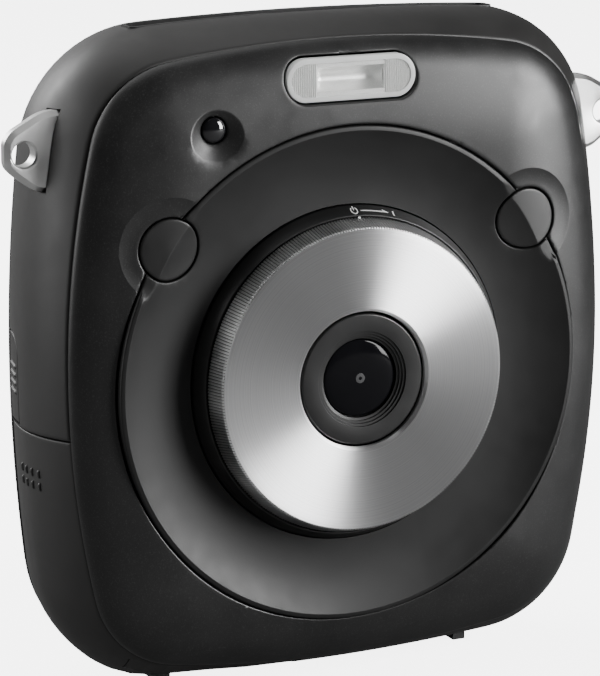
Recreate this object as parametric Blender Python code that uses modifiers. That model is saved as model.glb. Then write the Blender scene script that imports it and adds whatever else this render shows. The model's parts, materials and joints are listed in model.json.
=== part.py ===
"""Square-format instant camera, built as separate parts in metres.

+Z is up, the lens looks along -Y, and the camera stands on its feet at z = 0. Seen from
the front, +X is to the right. The origin is under the middle of the bounding box.
"""

import math

import bmesh
import bpy
from mathutils import Matrix, Vector

MM = 0.001

# Driving dimensions
BODY_WIDTH = 119 * MM
BODY_HEIGHT = 127 * MM
DEPTH = 47 * MM  # lens ring's face to the control dial's face
FOOT_DROP = 0.9 * MM
WALL = 1.8 * MM
GAP = 0.3 * MM  # seam between neighbouring parts
TINY_MERGE = 0.00001
OVERLAP = 1 * MM  # how far a cutter runs past the wall that it cuts

# Planes and centres
BODY_Z = FOOT_DROP + BODY_HEIGHT / 2
LENS_Z = BODY_Z - 3.4 * MM
FACE_Y = -DEPTH / 2
CONTROLS_Y = DEPTH / 2
BACK_Y = CONTROLS_Y - 0.6 * MM
WIDEST_Y = -0.7 * MM
FRONT_SEAM_Y = -13.4 * MM
REAR_SEAM_Y = 9 * MM
REAR_ROUND_Y = 13 * MM
SPLIT_Z = BODY_Z - 11.8 * MM
FILM_Y = 0.2 * MM  # plane in which a print travels up to the slot

# How the outline shrinks away from the widest plane: inset = rate * distance squared
FRONT_RATE = (26.4, 23.5)  # along X and Z, per metre
REAR_RATE = (14.5, 10.7)
REAR_ROUND_INSET = 9 * MM

# Radii of the outline's side, top and corner arcs, at the front seam and at the widest plane
SEAM_ARCS = (190 * MM, 227 * MM, 18.4 * MM)
WIDEST_ARCS = (338 * MM, 638 * MM, 24.8 * MM)
SIDE_STEPS = 2
CORNER_STEPS = 6

# Front cover's section: a tight round at the seam, then a broad dome
EDGE_ROUND = (5.85 * MM, 1.91 * MM)  # reach and height
DOME = (20 * MM, 4.13 * MM)

# Radii about the lens axis
DISH_R = 47.3 * MM
RIM_R = 45.6 * MM
BEZEL_R = 32.3 * MM
KNURL_BASE_R = 30.2 * MM
KNURL_TOP_R = 29 * MM
RING_HOLE_R = 12.8 * MM
GLASS_R = 7.6 * MM
DISH_FLOOR_Y = -16.5 * MM
KNURL_BASE_Y = -19.3 * MM
NAME_RING_Y = -22.8 * MM
ROUND_STEPS = 40

# Front controls and windows, as (x, z)
SHUTTER_X, SHUTTER_Z = 36.9 * MM, BODY_Z + 23.5 * MM
SHUTTER_R = 5.8 * MM
SHUTTER_TOP_Y = -18.7 * MM
SCOOP_R, SCOOP_Y = 9.8 * MM, -18.4 * MM  # shallow finger scoop round each button
FLASH_Z = BODY_Z + 52.6 * MM
FLASH_SIZE = (27.2 * MM, 8.8 * MM)
LAMP_X, LAMP_Z = -27.8 * MM, BODY_Z + 44.8 * MM
LAMP_R = 2.3 * MM
LAMP_DIMPLE_R = 4.7 * MM

# Strap lugs, in the upper sides
LUG_Z, LUG_Y = BODY_Z + 40.9 * MM, -4.9 * MM
LUG_HEIGHT, LUG_DEPTH = 14.4 * MM, 3.4 * MM
LUG_TIP_X, LUG_HOLE_X, LUG_HOLE_R = 64 * MM, 60.4 * MM, 2.3 * MM

# Film pack, in the chassis
PACK_SIZE = (84 * MM, 19 * MM, 92.5 * MM)
PACK_FRONT_Y = -4 * MM
PACK_BOTTOM_Z = 16 * MM
SLOT_WIDTH, SLOT_DEPTH = 75.2 * MM, 4.6 * MM
ROLLER_Z = 113.8 * MM
ROLLER_R = 2.6 * MM
ROLLER_SPACING = 5.5 * MM
SLOT_FLAP_PIVOT = (3.2 * MM, 120.2 * MM)  # y, z

# Gears that turn the rollers, across X at GEAR_X, with their axes as (y, z)
GEAR_MODULE = 0.5 * MM
SMALL_TEETH, LARGE_TEETH = 11, 22
GEAR_X, GEAR_THICK = 47.1 * MM, 2.2 * MM
GEAR_BORE_R = 0.95 * MM
DRIVE_AXIS = (FILM_Y - ROLLER_SPACING / 2, ROLLER_Z)
PINCH_AXIS = (FILM_Y + ROLLER_SPACING / 2, ROLLER_Z)
TRANSFER_DIRECTION = math.radians(-117)
PINION_DIRECTION = math.radians(-116.6)
MESH_DISTANCE = (SMALL_TEETH + LARGE_TEETH) * GEAR_MODULE / 2

# Rear door
HINGE_X, HINGE_Z = 57.9 * MM, 80 * MM
HINGE_R = 1.6 * MM
PIN_R, PIN_HOLE_R = 0.5 * MM, 0.85 * MM
KNUCKLE_LENGTH = 8 * MM
SCREEN_Z, SCREEN_SIZE = 85 * MM, (68 * MM, 54 * MM)
DIAL_Z, DIAL_R = 32 * MM, 15 * MM
ARROW_PAD_R, OK_R = 9.2 * MM, 5 * MM
KEY_R, KEY_RING_R = 3.6 * MM, 27 * MM
KEY_ANGLES = (145, 180, 215, 35, 0, -35)
KEY_NAMES = ("filter", "vignette", "brightness", "play", "print", "return")

# Flap over the sockets, on the side at -X, and the door's latch beside the screen
FLAP_Y = (1.2 * MM, 7.6 * MM)
FLAP_Z = (53.1 * MM, 70.3 * MM)
FLAP_CORNER = 4.5 * MM
LATCH_X, LATCH_Z = -41 * MM, 64 * MM
LATCH_SIZE = (5 * MM, 11 * MM)
LATCH_TRAVEL = 3 * MM

BATTERY_X, BATTERY_Y = -24.2 * MM, -9.1 * MM
BATTERY_SIZE = (35 * MM, 5.8 * MM, 37.6 * MM)
BATTERY_BOTTOM_Z = 12 * MM
HATCH_X = (-43.2 * MM, -7 * MM)
HATCH_Y = (-12.3 * MM, -2.5 * MM)

TRIPOD_X, TRIPOD_Y = 6 * MM, WIDEST_Y
FOOT_X = 32 * MM
FOOT_Y = (-2 * MM, 8.2 * MM)
FOOT_WIDTH = 2.6 * MM

FINISHES = {  # colour, roughness, metallic
    "body_black": ((0.035, 0.035, 0.036), 0.45, 0.0),
    "satin_black": ((0.03, 0.03, 0.031), 0.4, 0.0),
    "spun_metal": ((0.72, 0.72, 0.73), 0.3, 1.0),
    "chrome": ((0.8, 0.8, 0.8), 0.1, 1.0),
    "inner_plastic": ((0.05, 0.05, 0.05), 0.6, 0.0),
    "clear_plastic": ((0.85, 0.87, 0.85), 0.15, 0.0),
    "glass": ((0.05, 0.05, 0.06), 0.05, 0.0),
    "rubber": ((0.03, 0.03, 0.03), 0.8, 0.0),
    "board_green": ((0.03, 0.16, 0.08), 0.5, 0.0),
    "steel": ((0.55, 0.55, 0.56), 0.3, 1.0),
    "brass": ((0.7, 0.52, 0.22), 0.3, 1.0),
    "cell_grey": ((0.3, 0.31, 0.33), 0.5, 0.0),
    "gear_white": ((0.8, 0.79, 0.74), 0.5, 0.0),
}

# Turns a shape made along local Z so that it lies along the named axis
TURN = {
    "Z": Matrix.Identity(3),
    "-Y": Matrix(((1, 0, 0), (0, 0, -1), (0, 1, 0))),
    "X": Matrix(((0, 0, 1), (1, 0, 0), (0, 1, 0))),
}


# ---------------------------------------------------------------- scene and modifiers


def start_scene():
    for old in list(bpy.data.objects):
        bpy.data.objects.remove(old)
    for name in ("instant_camera", "cutters"):
        bpy.context.scene.collection.children.link(bpy.data.collections.new(name))


def finish_of(name):
    found = bpy.data.materials.get(name)
    if found:
        return found
    colour, roughness, metallic = FINISHES[name]
    made = bpy.data.materials.new(name)
    made.use_nodes = True
    shader = made.node_tree.nodes["Principled BSDF"]
    shader.inputs["Base Color"].default_value = (*colour, 1)
    shader.inputs["Roughness"].default_value = roughness
    shader.inputs["Metallic"].default_value = metallic
    return made


def place(obj, name, finish=None):
    """Names the object and files it as a part, or as a cutter where it has no finish."""
    obj.name = name
    for old in list(obj.users_collection):
        old.objects.unlink(obj)
    bpy.data.collections["instant_camera" if finish else "cutters"].objects.link(obj)
    if finish:
        obj.data.materials.append(finish_of(finish))
    else:
        obj.hide_render = True
        obj.display_type = "WIRE"
    return obj


def boolean(target, tool, operation):
    modifier = target.modifiers.new(tool.name, "BOOLEAN")
    modifier.operation = operation
    modifier.object = tool
    return target


def cut(target, *tools):
    for tool in tools:
        boolean(target, tool, "DIFFERENCE")
    return target


def join(target, *tools):
    for tool in tools:
        boolean(target, tool, "UNION")
    return target


def bevel(obj, width, segments=2):
    modifier = obj.modifiers.new("bevel", "BEVEL")
    modifier.width = width
    modifier.segments = segments
    modifier.limit_method = "ANGLE"
    return obj


def smooth(obj):
    obj.data.shade_smooth()
    obj.data.set_sharp_from_angle(angle=math.radians(35))
    return obj


# ---------------------------------------------------------------- basic shapes


def box(name, low, high, finish=None, round_edge=0):
    size = Vector(high) - Vector(low)
    bpy.ops.mesh.primitive_cube_add(size=1)
    obj = place(bpy.context.object, name, finish)
    obj.data.transform(Matrix.Diagonal((*size, 1)))
    obj.location = (Vector(high) + Vector(low)) / 2
    return bevel(obj, round_edge) if round_edge else obj


def centred_box(name, centre, size, finish=None, round_edge=0):
    half = Vector(size) / 2
    return box(name, Vector(centre) - half, Vector(centre) + half, finish, round_edge)


def cylinder(name, radius, start, length, axis="-Y", finish=None, sides=24):
    """A cylinder from the point start, running length along the axis."""
    bpy.ops.mesh.primitive_cylinder_add(vertices=sides, radius=radius, depth=length)
    obj = place(bpy.context.object, name, finish)
    obj.rotation_euler = TURN[axis].to_euler()
    obj.location = Vector(start) + TURN[axis] @ Vector((0, 0, length / 2))
    return smooth(obj)


def turned(name, profile, centre, axis="-Y", finish=None, steps=ROUND_STEPS):
    """A solid of revolution. The profile holds (radius, distance along the axis from centre)."""
    area = sum(
        r0 * a1 - r1 * a0
        for (r0, a0), (r1, a1) in zip(profile, profile[1:] + profile[:1])
    )
    if area > 0:
        profile = profile[::-1]
    solid = min(r for r, _ in profile) < TINY_MERGE
    if solid:  # the profile starts and ends on the axis, which gets no edge
        while not (profile[0][0] < TINY_MERGE and profile[-1][0] < TINY_MERGE):
            profile = profile[1:] + profile[:1]
    mesh = bpy.data.meshes.new(name)
    edges = [(i, i + 1) for i in range(len(profile) - 1)]
    if not solid:
        edges.append((len(profile) - 1, 0))
    mesh.from_pydata([(r, 0, a) for r, a in profile], edges, [])
    obj = place(bpy.data.objects.new(name, mesh), name, finish)
    screw = obj.modifiers.new("turn", "SCREW")
    screw.steps = screw.render_steps = steps
    screw.use_merge_vertices = True
    screw.merge_threshold = TINY_MERGE
    screw.use_smooth_shade = True
    obj.rotation_euler = TURN[axis].to_euler()
    obj.location = centre
    return obj


def curve_to_mesh(curve_obj):
    """The curve's solid as a welded mesh object in the same place. The curve is removed."""
    bpy.context.view_layer.update()
    graph = bpy.context.evaluated_depsgraph_get()
    mesh = bpy.data.meshes.new_from_object(curve_obj.evaluated_get(graph))
    work = bmesh.new()
    work.from_mesh(mesh)
    bmesh.ops.remove_doubles(work, verts=work.verts, dist=TINY_MERGE / 10)
    work.to_mesh(mesh)
    work.free()
    obj = bpy.data.objects.new(curve_obj.name, mesh)
    obj.matrix_world = curve_obj.matrix_world
    bpy.context.scene.collection.objects.link(obj)
    bpy.data.objects.remove(curve_obj)
    return obj


def prism(name, outlines, centre, thickness, axis="-Y", finish=None):
    """A flat outline, with holes where more outlines follow, made thick along the axis.

    The outline's points are (x, z) for axis -Y, (y, z) for axis X, and (x, y) for axis Z.
    """
    curve = bpy.data.curves.new(name, "CURVE")
    curve.dimensions = "2D"
    curve.fill_mode = "BOTH"
    curve.extrude = thickness / 2
    for points in outlines:
        spline = curve.splines.new("POLY")
        spline.points.add(len(points) - 1)
        for point, (u, v) in zip(spline.points, points):
            point.co = (u, v, 0, 1)
        spline.use_cyclic_u = True
    flat = bpy.data.objects.new(name, curve)
    bpy.context.scene.collection.objects.link(flat)
    flat.rotation_euler = TURN[axis].to_euler()
    flat.location = centre
    return place(curve_to_mesh(flat), name, finish)


def circle(radius, steps=24, centre=(0, 0)):
    turn = 2 * math.pi / steps
    return [
        (centre[0] + radius * math.cos(i * turn), centre[1] + radius * math.sin(i * turn))
        for i in range(steps)
    ]


def rounded_rectangle(width, height, radius, steps=4):
    points = []
    for quarter, (sx, sy) in enumerate(((1, 1), (-1, 1), (-1, -1), (1, -1))):
        cx, cy = sx * (width / 2 - radius), sy * (height / 2 - radius)
        for i in range(steps + 1):
            angle = (quarter + i / steps) * math.pi / 2
            point = (cx + radius * math.cos(angle), cy + radius * math.sin(angle))
            if not points or math.dist(points[-1], point) > TINY_MERGE:
                points.append(point)
    if math.dist(points[0], points[-1]) < TINY_MERGE:
        points.pop()
    return points


# ---------------------------------------------------------------- the body's surface


def corner_centre(half_w, half_h, arcs):
    """Centre of the corner arc that meets the side arc and the top arc without a kink."""
    side_r, top_r, corner_r = arcs
    side, top = Vector((half_w - side_r, 0)), Vector((0, half_h - top_r))
    reach_side, reach_top = side_r - corner_r, top_r - corner_r
    apart = (top - side).length
    along = (reach_side**2 - reach_top**2 + apart**2) / (2 * apart)
    across = math.sqrt(reach_side**2 - along**2)
    direction = (top - side) / apart
    return side + direction * along + Vector((-direction.y, direction.x)) * across


def outline(half_w, half_h, arcs):
    """Points of the bulged square outline, counter-clockwise from +X, as (x, z) about its middle."""
    side_r, top_r, corner_r = arcs
    centre = corner_centre(half_w, half_h, arcs)
    side_end = math.atan2(centre.y, centre.x - half_w + side_r)
    corner_end = math.atan2(centre.y - half_h + top_r, centre.x)
    quarter = []
    for i in range(SIDE_STEPS):
        a = side_end * i / SIDE_STEPS
        quarter.append((half_w - side_r + side_r * math.cos(a), side_r * math.sin(a)))
    for i in range(CORNER_STEPS):
        a = side_end + (corner_end - side_end) * i / CORNER_STEPS
        quarter.append((centre.x + corner_r * math.cos(a), centre.y + corner_r * math.sin(a)))
    for i in range(SIDE_STEPS):
        a = corner_end + (math.pi / 2 - corner_end) * i / SIDE_STEPS
        quarter.append((top_r * math.cos(a), half_h - top_r + top_r * math.sin(a)))
    upper_left = [(-x, z) for x, z in reversed(quarter[1:])]
    upper = quarter + [(0, half_h)] + upper_left
    lower = [(x, -z) for x, z in reversed(upper[1:])]
    return upper + [(-half_w, 0)] + lower


def section_at(y, shrink=0.0):
    """Half width, half height and arcs of the body at y."""
    rates = FRONT_RATE if y < WIDEST_Y else REAR_RATE
    half_w = BODY_WIDTH / 2 - rates[0] * (y - WIDEST_Y) ** 2 - shrink
    half_h = BODY_HEIGHT / 2 - rates[1] * (y - WIDEST_Y) ** 2 - shrink
    blend = min(1, max(0, (y - FRONT_SEAM_Y) / (WIDEST_Y - FRONT_SEAM_Y)))
    arcs = [a + (b - a) * blend - shrink for a, b in zip(SEAM_ARCS, WIDEST_ARCS)]
    if y > REAR_ROUND_Y:
        turn = (y - REAR_ROUND_Y) / (BACK_Y - REAR_ROUND_Y)
        inset = REAR_ROUND_INSET * (1 - math.sqrt(max(0, 1 - turn**2)))
        half_w, half_h = half_w - inset, half_h - inset
        arcs = [arc - inset / 2 for arc in arcs]
    return half_w, half_h, arcs


def ring_at(y, shrink=0.0):
    return [(x, y, BODY_Z + z) for x, z in outline(*section_at(y, shrink))]


def inward_distance(x, z):
    """How far a point lies inside the outline at the front seam."""
    half_w, half_h, arcs = section_at(FRONT_SEAM_Y)
    side_r, top_r, corner_r = arcs
    centre = corner_centre(half_w, half_h, arcs)
    x, z = abs(x), abs(z - BODY_Z)
    side_end = math.atan2(centre.y, centre.x - half_w + side_r)
    corner_end = math.atan2(centre.y - half_h + top_r, centre.x)
    if side_end < math.atan2(z - centre.y, x - centre.x) < corner_end:
        return corner_r - math.hypot(x - centre.x, z - centre.y)
    from_side = side_r - math.hypot(x - half_w + side_r, z)
    from_top = top_r - math.hypot(x, z - half_h + top_r)
    return min(from_side, from_top)


def front_y(inward):
    """The front cover's outer surface, at a distance inward of the seam."""
    edge = 1 - min(1, max(0, inward) / EDGE_ROUND[0])
    dome = 1 - min(1, max(0, inward) / DOME[0])
    return FRONT_SEAM_Y - EDGE_ROUND[1] * math.sqrt(1 - edge**2) - DOME[1] * (1 - dome**2)


def loft(name, rings, finish=None, thickness=WALL, cap=False):
    """A shell: the open surface through the rings, from front to back, made thick inwards."""
    count = len(rings[0])
    faces = []
    for i in range(len(rings) - 1):
        for j in range(count):
            k = (j + 1) % count
            faces.append((i * count + j, (i + 1) * count + j, (i + 1) * count + k, i * count + k))
    if cap:
        last = (len(rings) - 1) * count
        faces.append(tuple(last + j for j in reversed(range(count))))
    mesh = bpy.data.meshes.new(name)
    mesh.from_pydata([p for ring in rings for p in ring], [], faces)
    obj = place(bpy.data.objects.new(name, mesh), name, finish)
    solid = obj.modifiers.new("wall", "SOLIDIFY")
    solid.thickness = thickness
    solid.offset = -1
    solid.use_even_offset = True
    return smooth(obj)


# ---------------------------------------------------------------- casings


def front_cover():
    half_w, half_h, arcs = section_at(FRONT_SEAM_Y)
    rings = []
    for inward in (3.6 * MM, 1.6 * MM, 0.5 * MM, 0.0):
        shrunk = outline(half_w - inward, half_h - inward, [arc - inward for arc in arcs])
        rings.append([(x, front_y(inward), BODY_Z + z) for x, z in shrunk])
    edge = rings[0]
    for share in (0.35, 0.7, 1.0):
        ring = []
        for x, _, z in edge:
            angle = math.atan2(z - LENS_Z, x)
            reach = math.hypot(x, z - LENS_Z) * (1 - share) + (DISH_R - 2 * MM) * share
            px, pz = reach * math.cos(angle), LENS_Z + reach * math.sin(angle)
            ring.append((px, front_y(inward_distance(px, pz)), pz))
        rings.insert(0, ring)
    cover = loft("front_cover", rings, "body_black")
    flash_hole = prism(
        "flash_hole",
        [rounded_rectangle(*FLASH_SIZE, FLASH_SIZE[1] / 2)],
        (0, FRONT_SEAM_Y, FLASH_Z),
        12 * MM,
    )
    lamp_hole = cylinder("lamp_hole", LAMP_R + GAP, (LAMP_X, -12 * MM, LAMP_Z), 12 * MM)
    lamp_y = front_y(inward_distance(LAMP_X, LAMP_Z))
    dimple = turned(
        "lamp_dimple",
        [(0, -1.2 * MM), (LAMP_R + GAP, -1.2 * MM), (LAMP_DIMPLE_R + 1 * MM, 0.3 * MM), (0, 0.3 * MM)],
        (LAMP_X, lamp_y, LAMP_Z),
        steps=24,
    )
    cut(cover, flash_hole, dimple, lamp_hole)
    dish_hole = cylinder("dish_hole", DISH_R + GAP, (0, -5 * MM, LENS_Z), 30 * MM, sides=80)
    return cut(cover, dish_hole, *shutter_holes("cover"), *finger_scoops("cover"))


def round_shutters(name, radius, start_y, sides=24):
    """A cylinder towards the front round each shutter button."""
    return [
        cylinder(f"{name}_{side}", radius, (sign * SHUTTER_X, start_y, SHUTTER_Z), 12 * MM, sides=sides)
        for side, sign in (("left", -1), ("right", 1))
    ]


def shutter_holes(owner):
    return round_shutters(f"{owner}_shutter_hole", SHUTTER_R + GAP, -12 * MM)


def finger_scoops(owner):
    return round_shutters(f"{owner}_scoop", SCOOP_R, SCOOP_Y, sides=40)


def dish_ring():
    """The dished ring round the lens, with a narrow rim at its outer edge."""
    rim_y, wall = 19.1 * MM, 1.6 * MM
    radial = RIM_R - BEZEL_R
    steps = 4
    top = [(DISH_R, rim_y - 1.1 * MM), (DISH_R, rim_y), (RIM_R, rim_y + 0.15 * MM)]
    for i in range(1, steps + 1):
        share = i / steps
        rise = (rim_y + 0.15 * MM + DISH_FLOOR_Y) * (1 - share) ** 2.2
        top.append((RIM_R - radial * share, -DISH_FLOOR_Y + rise))
    under = [(r, a - wall) for r, a in reversed(top[2:])]
    under += [(DISH_R - 1.2 * MM, rim_y - wall - 1.6 * MM), (DISH_R, rim_y - wall - 1.6 * MM)]
    ring = turned("dish_ring", top + under, (0, 0, LENS_Z), finish="satin_black")
    return cut(ring, *shutter_holes("dish"), *finger_scoops("dish"))


def body_band(name, low_y, high_y, shrink=0.0, finish=None):
    steps = 5
    ys = [low_y + (high_y - low_y) * i / steps for i in range(steps + 1)]
    return loft(name, [ring_at(y, shrink) for y in ys], finish)


def hinge_relief(name):
    """Room for the hinge's knuckles in both shells."""
    length = 3 * KNUCKLE_LENGTH + 2 * OVERLAP
    start = (HINGE_X, REAR_SEAM_Y, HINGE_Z - length / 2)
    return cylinder(name, HINGE_R + GAP, start, length, "Z", sides=16)


def knuckle(name, index, reach_y):
    """One hinge knuckle: a barrel round the pin, and a tongue that ties it to its shell."""
    low = HINGE_Z + (index - 1.5) * KNUCKLE_LENGTH + GAP / 2
    length = KNUCKLE_LENGTH - GAP
    barrel = cylinder(name, HINGE_R, (HINGE_X, REAR_SEAM_Y, low), length, "Z", sides=16)
    tongue = box(
        name + "_tongue",
        (HINGE_X - 3.6 * MM, REAR_SEAM_Y + min(reach_y), low),
        (HINGE_X - 1 * MM, REAR_SEAM_Y + max(reach_y), low + length),
    )
    return barrel, tongue


def mid_shell():
    """The upper part of the middle shell, an arch with the print slot in its top."""
    shell = body_band("mid_shell", FRONT_SEAM_Y + GAP, REAR_SEAM_Y - GAP / 2, finish="body_black")
    reach = BODY_WIDTH
    below = box("mid_below", (-reach, -reach, -reach), (reach, reach, SPLIT_Z + GAP / 2))
    slot = centred_box(
        "print_slot", (0, FILM_Y, BODY_Z + BODY_HEIGHT / 2), (SLOT_WIDTH, SLOT_DEPTH, 12 * MM)
    )
    cut(shell, below, slot, flap_column("flap_opening", 0), hinge_relief("mid_hinge_relief"))
    cut(shell, *lug_slots())
    for index in (0, 2):
        barrel, tongue = knuckle(f"mid_knuckle_{index}", index, (-3.4 * MM, -0.75 * MM))
        join(shell, barrel, tongue)
    pin_hole = cylinder(
        "mid_pin_hole", PIN_HOLE_R, (HINGE_X, REAR_SEAM_Y, HINGE_Z - 20 * MM), 40 * MM, "Z", sides=12
    )
    cut(shell, pin_hole)
    return shell


def flap_column(name, inset):
    """The flap's outline run through the side wall, drawn in by inset. Its top front corner is round."""
    front, rear = FLAP_Y[0] + inset, FLAP_Y[1] - inset
    low, high = FLAP_Z[0] + inset, FLAP_Z[1] - inset
    radius, steps = FLAP_CORNER - inset, 5
    outline_points = [(front, low), (rear, low), (rear, high)]
    for i in range(steps + 1):
        angle = math.pi / 2 * (1 + i / steps)
        outline_points.append(
            (front + radius + radius * math.cos(angle), high - radius + radius * math.sin(angle))
        )
    return prism(name, [outline_points], (-BODY_WIDTH / 2, 0, 0), 12 * MM, "X")


def side_flap():
    """The socket flap, a piece of the side wall with four thumb ridges, hinged at its foot."""
    flap = body_band(
        "side_flap", FRONT_SEAM_Y + GAP, REAR_SEAM_Y - GAP / 2, finish="body_black"
    )
    boolean(flap, flap_column("flap_column", GAP), "INTERSECT")
    for i in range(4):
        z = BODY_Z - 5.1 * MM + i * 1.63 * MM
        x = -BODY_WIDTH / 2 + 0.5 * MM
        rib = centred_box(f"flap_ridge_{i}", (x, 4.4 * MM, z), (1 * MM, 3.6 * MM, 0.5 * MM))
        join(flap, rib)
    return flap


def bottom_cover():
    """The lower part of the middle shell, a trough with holes for the tripod and the battery."""
    cover = body_band(
        "bottom_cover",
        FRONT_SEAM_Y + GAP,
        REAR_SEAM_Y - GAP / 2,
        shrink=0.3 * MM,
        finish="body_black",
    )
    reach = BODY_WIDTH
    above = box("cover_above", (-reach, -reach, SPLIT_Z - GAP / 2), (reach, reach, 2 * reach))
    tripod_hole = cylinder("cover_tripod_hole", 6.5 * MM, (TRIPOD_X, TRIPOD_Y, -5 * MM), 12 * MM, "Z")
    return cut(cover, above, tripod_hole, hatch_block("battery_opening", 0))


def hatch_block(name, inset):
    """The column over the battery hatch, drawn in by inset."""
    low = (HATCH_X[0] + inset, HATCH_Y[0] + inset, -5 * MM)
    return box(name, low, (HATCH_X[1] - inset, HATCH_Y[1] - inset, 9 * MM))


def battery_cover():
    """A hatch in the underside, with the shell's own curve, hinged along its rear edge."""
    hatch = body_band(
        "battery_cover",
        FRONT_SEAM_Y + GAP,
        REAR_SEAM_Y - GAP / 2,
        shrink=0.3 * MM,
        finish="body_black",
    )
    return boolean(hatch, hatch_block("hatch_column", GAP), "INTERSECT")


def feet():
    """Two low rubber strips. The bottom cover curves up from each, so its top stays clear."""
    half = FOOT_WIDTH / 2
    heights = [outline_height(FOOT_X - half, y) for y in (FOOT_Y[0], WIDEST_Y, FOOT_Y[1])]
    top = BODY_Z - max(heights) - 0.1 * MM
    for side, sign in (("left", -1), ("right", 1)):
        middle = sign * FOOT_X
        box(
            f"foot_{side}",
            (middle - half, FOOT_Y[0], 0),
            (middle + half, FOOT_Y[1], top),
            "rubber",
        )


def outline_height(x, y):
    """Height of the bottom cover's outline above the body's middle, at x and y."""
    half_w, half_h, arcs = section_at(y, 0.3 * MM)
    return half_h - arcs[1] + math.sqrt(arcs[1] ** 2 - x**2)


def rear_door():
    """The back, a shallow tray hinged at +X, with openings for the screen and the controls."""
    start = REAR_SEAM_Y + GAP / 2
    ys = [start, (start + REAR_ROUND_Y) / 2, REAR_ROUND_Y]
    turns = 5
    ys += [
        REAR_ROUND_Y + (BACK_Y - REAR_ROUND_Y) * math.sin(i / turns * math.pi / 2)
        for i in range(1, turns + 1)
    ]
    door = loft("rear_door", [ring_at(y) for y in ys], "body_black", cap=True)
    window = prism(
        "screen_window",
        [rounded_rectangle(*SCREEN_SIZE, 3 * MM)],
        (0, BACK_Y, SCREEN_Z),
        8 * MM,
    )
    dial_hole = cylinder("dial_hole", DIAL_R + GAP, (0, BACK_Y + 4 * MM, DIAL_Z), 8 * MM, sides=40)
    slot_height = LATCH_SIZE[1] + LATCH_TRAVEL + 2 * GAP
    latch_slot = prism(
        "latch_slot",
        [rounded_rectangle(LATCH_SIZE[0] + 2 * GAP, slot_height, 0.5 * MM, 2)],
        (LATCH_X, BACK_Y, LATCH_Z - LATCH_TRAVEL / 2),
        8 * MM,
    )
    cut(door, window, dial_hole, latch_slot)
    for name, (x, z) in key_places().items():
        hole = cylinder(f"{name}_hole", KEY_R + GAP, (x, BACK_Y + 4 * MM, z), 8 * MM, sides=16)
        cut(door, hole)
    cut(door, hinge_relief("door_hinge_relief"))
    barrel, tongue = knuckle("door_knuckle", 1, (0, 3.4 * MM))
    join(door, barrel, tongue)
    pin_hole = cylinder(
        "door_pin_hole", PIN_HOLE_R, (HINGE_X, REAR_SEAM_Y, HINGE_Z - 20 * MM), 40 * MM, "Z", sides=12
    )
    return cut(door, pin_hole)


def key_places():
    return {
        f"{name}_button": (
            KEY_RING_R * math.cos(math.radians(angle)),
            DIAL_Z + KEY_RING_R * math.sin(math.radians(angle)),
        )
        for name, angle in zip(KEY_NAMES, KEY_ANGLES)
    }


def hinge_pin():
    length = 3 * KNUCKLE_LENGTH
    cylinder(
        "hinge_pin", PIN_R, (HINGE_X, REAR_SEAM_Y, HINGE_Z - length / 2), length, "Z", "steel", 12
    )


# ---------------------------------------------------------------- lens


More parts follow.
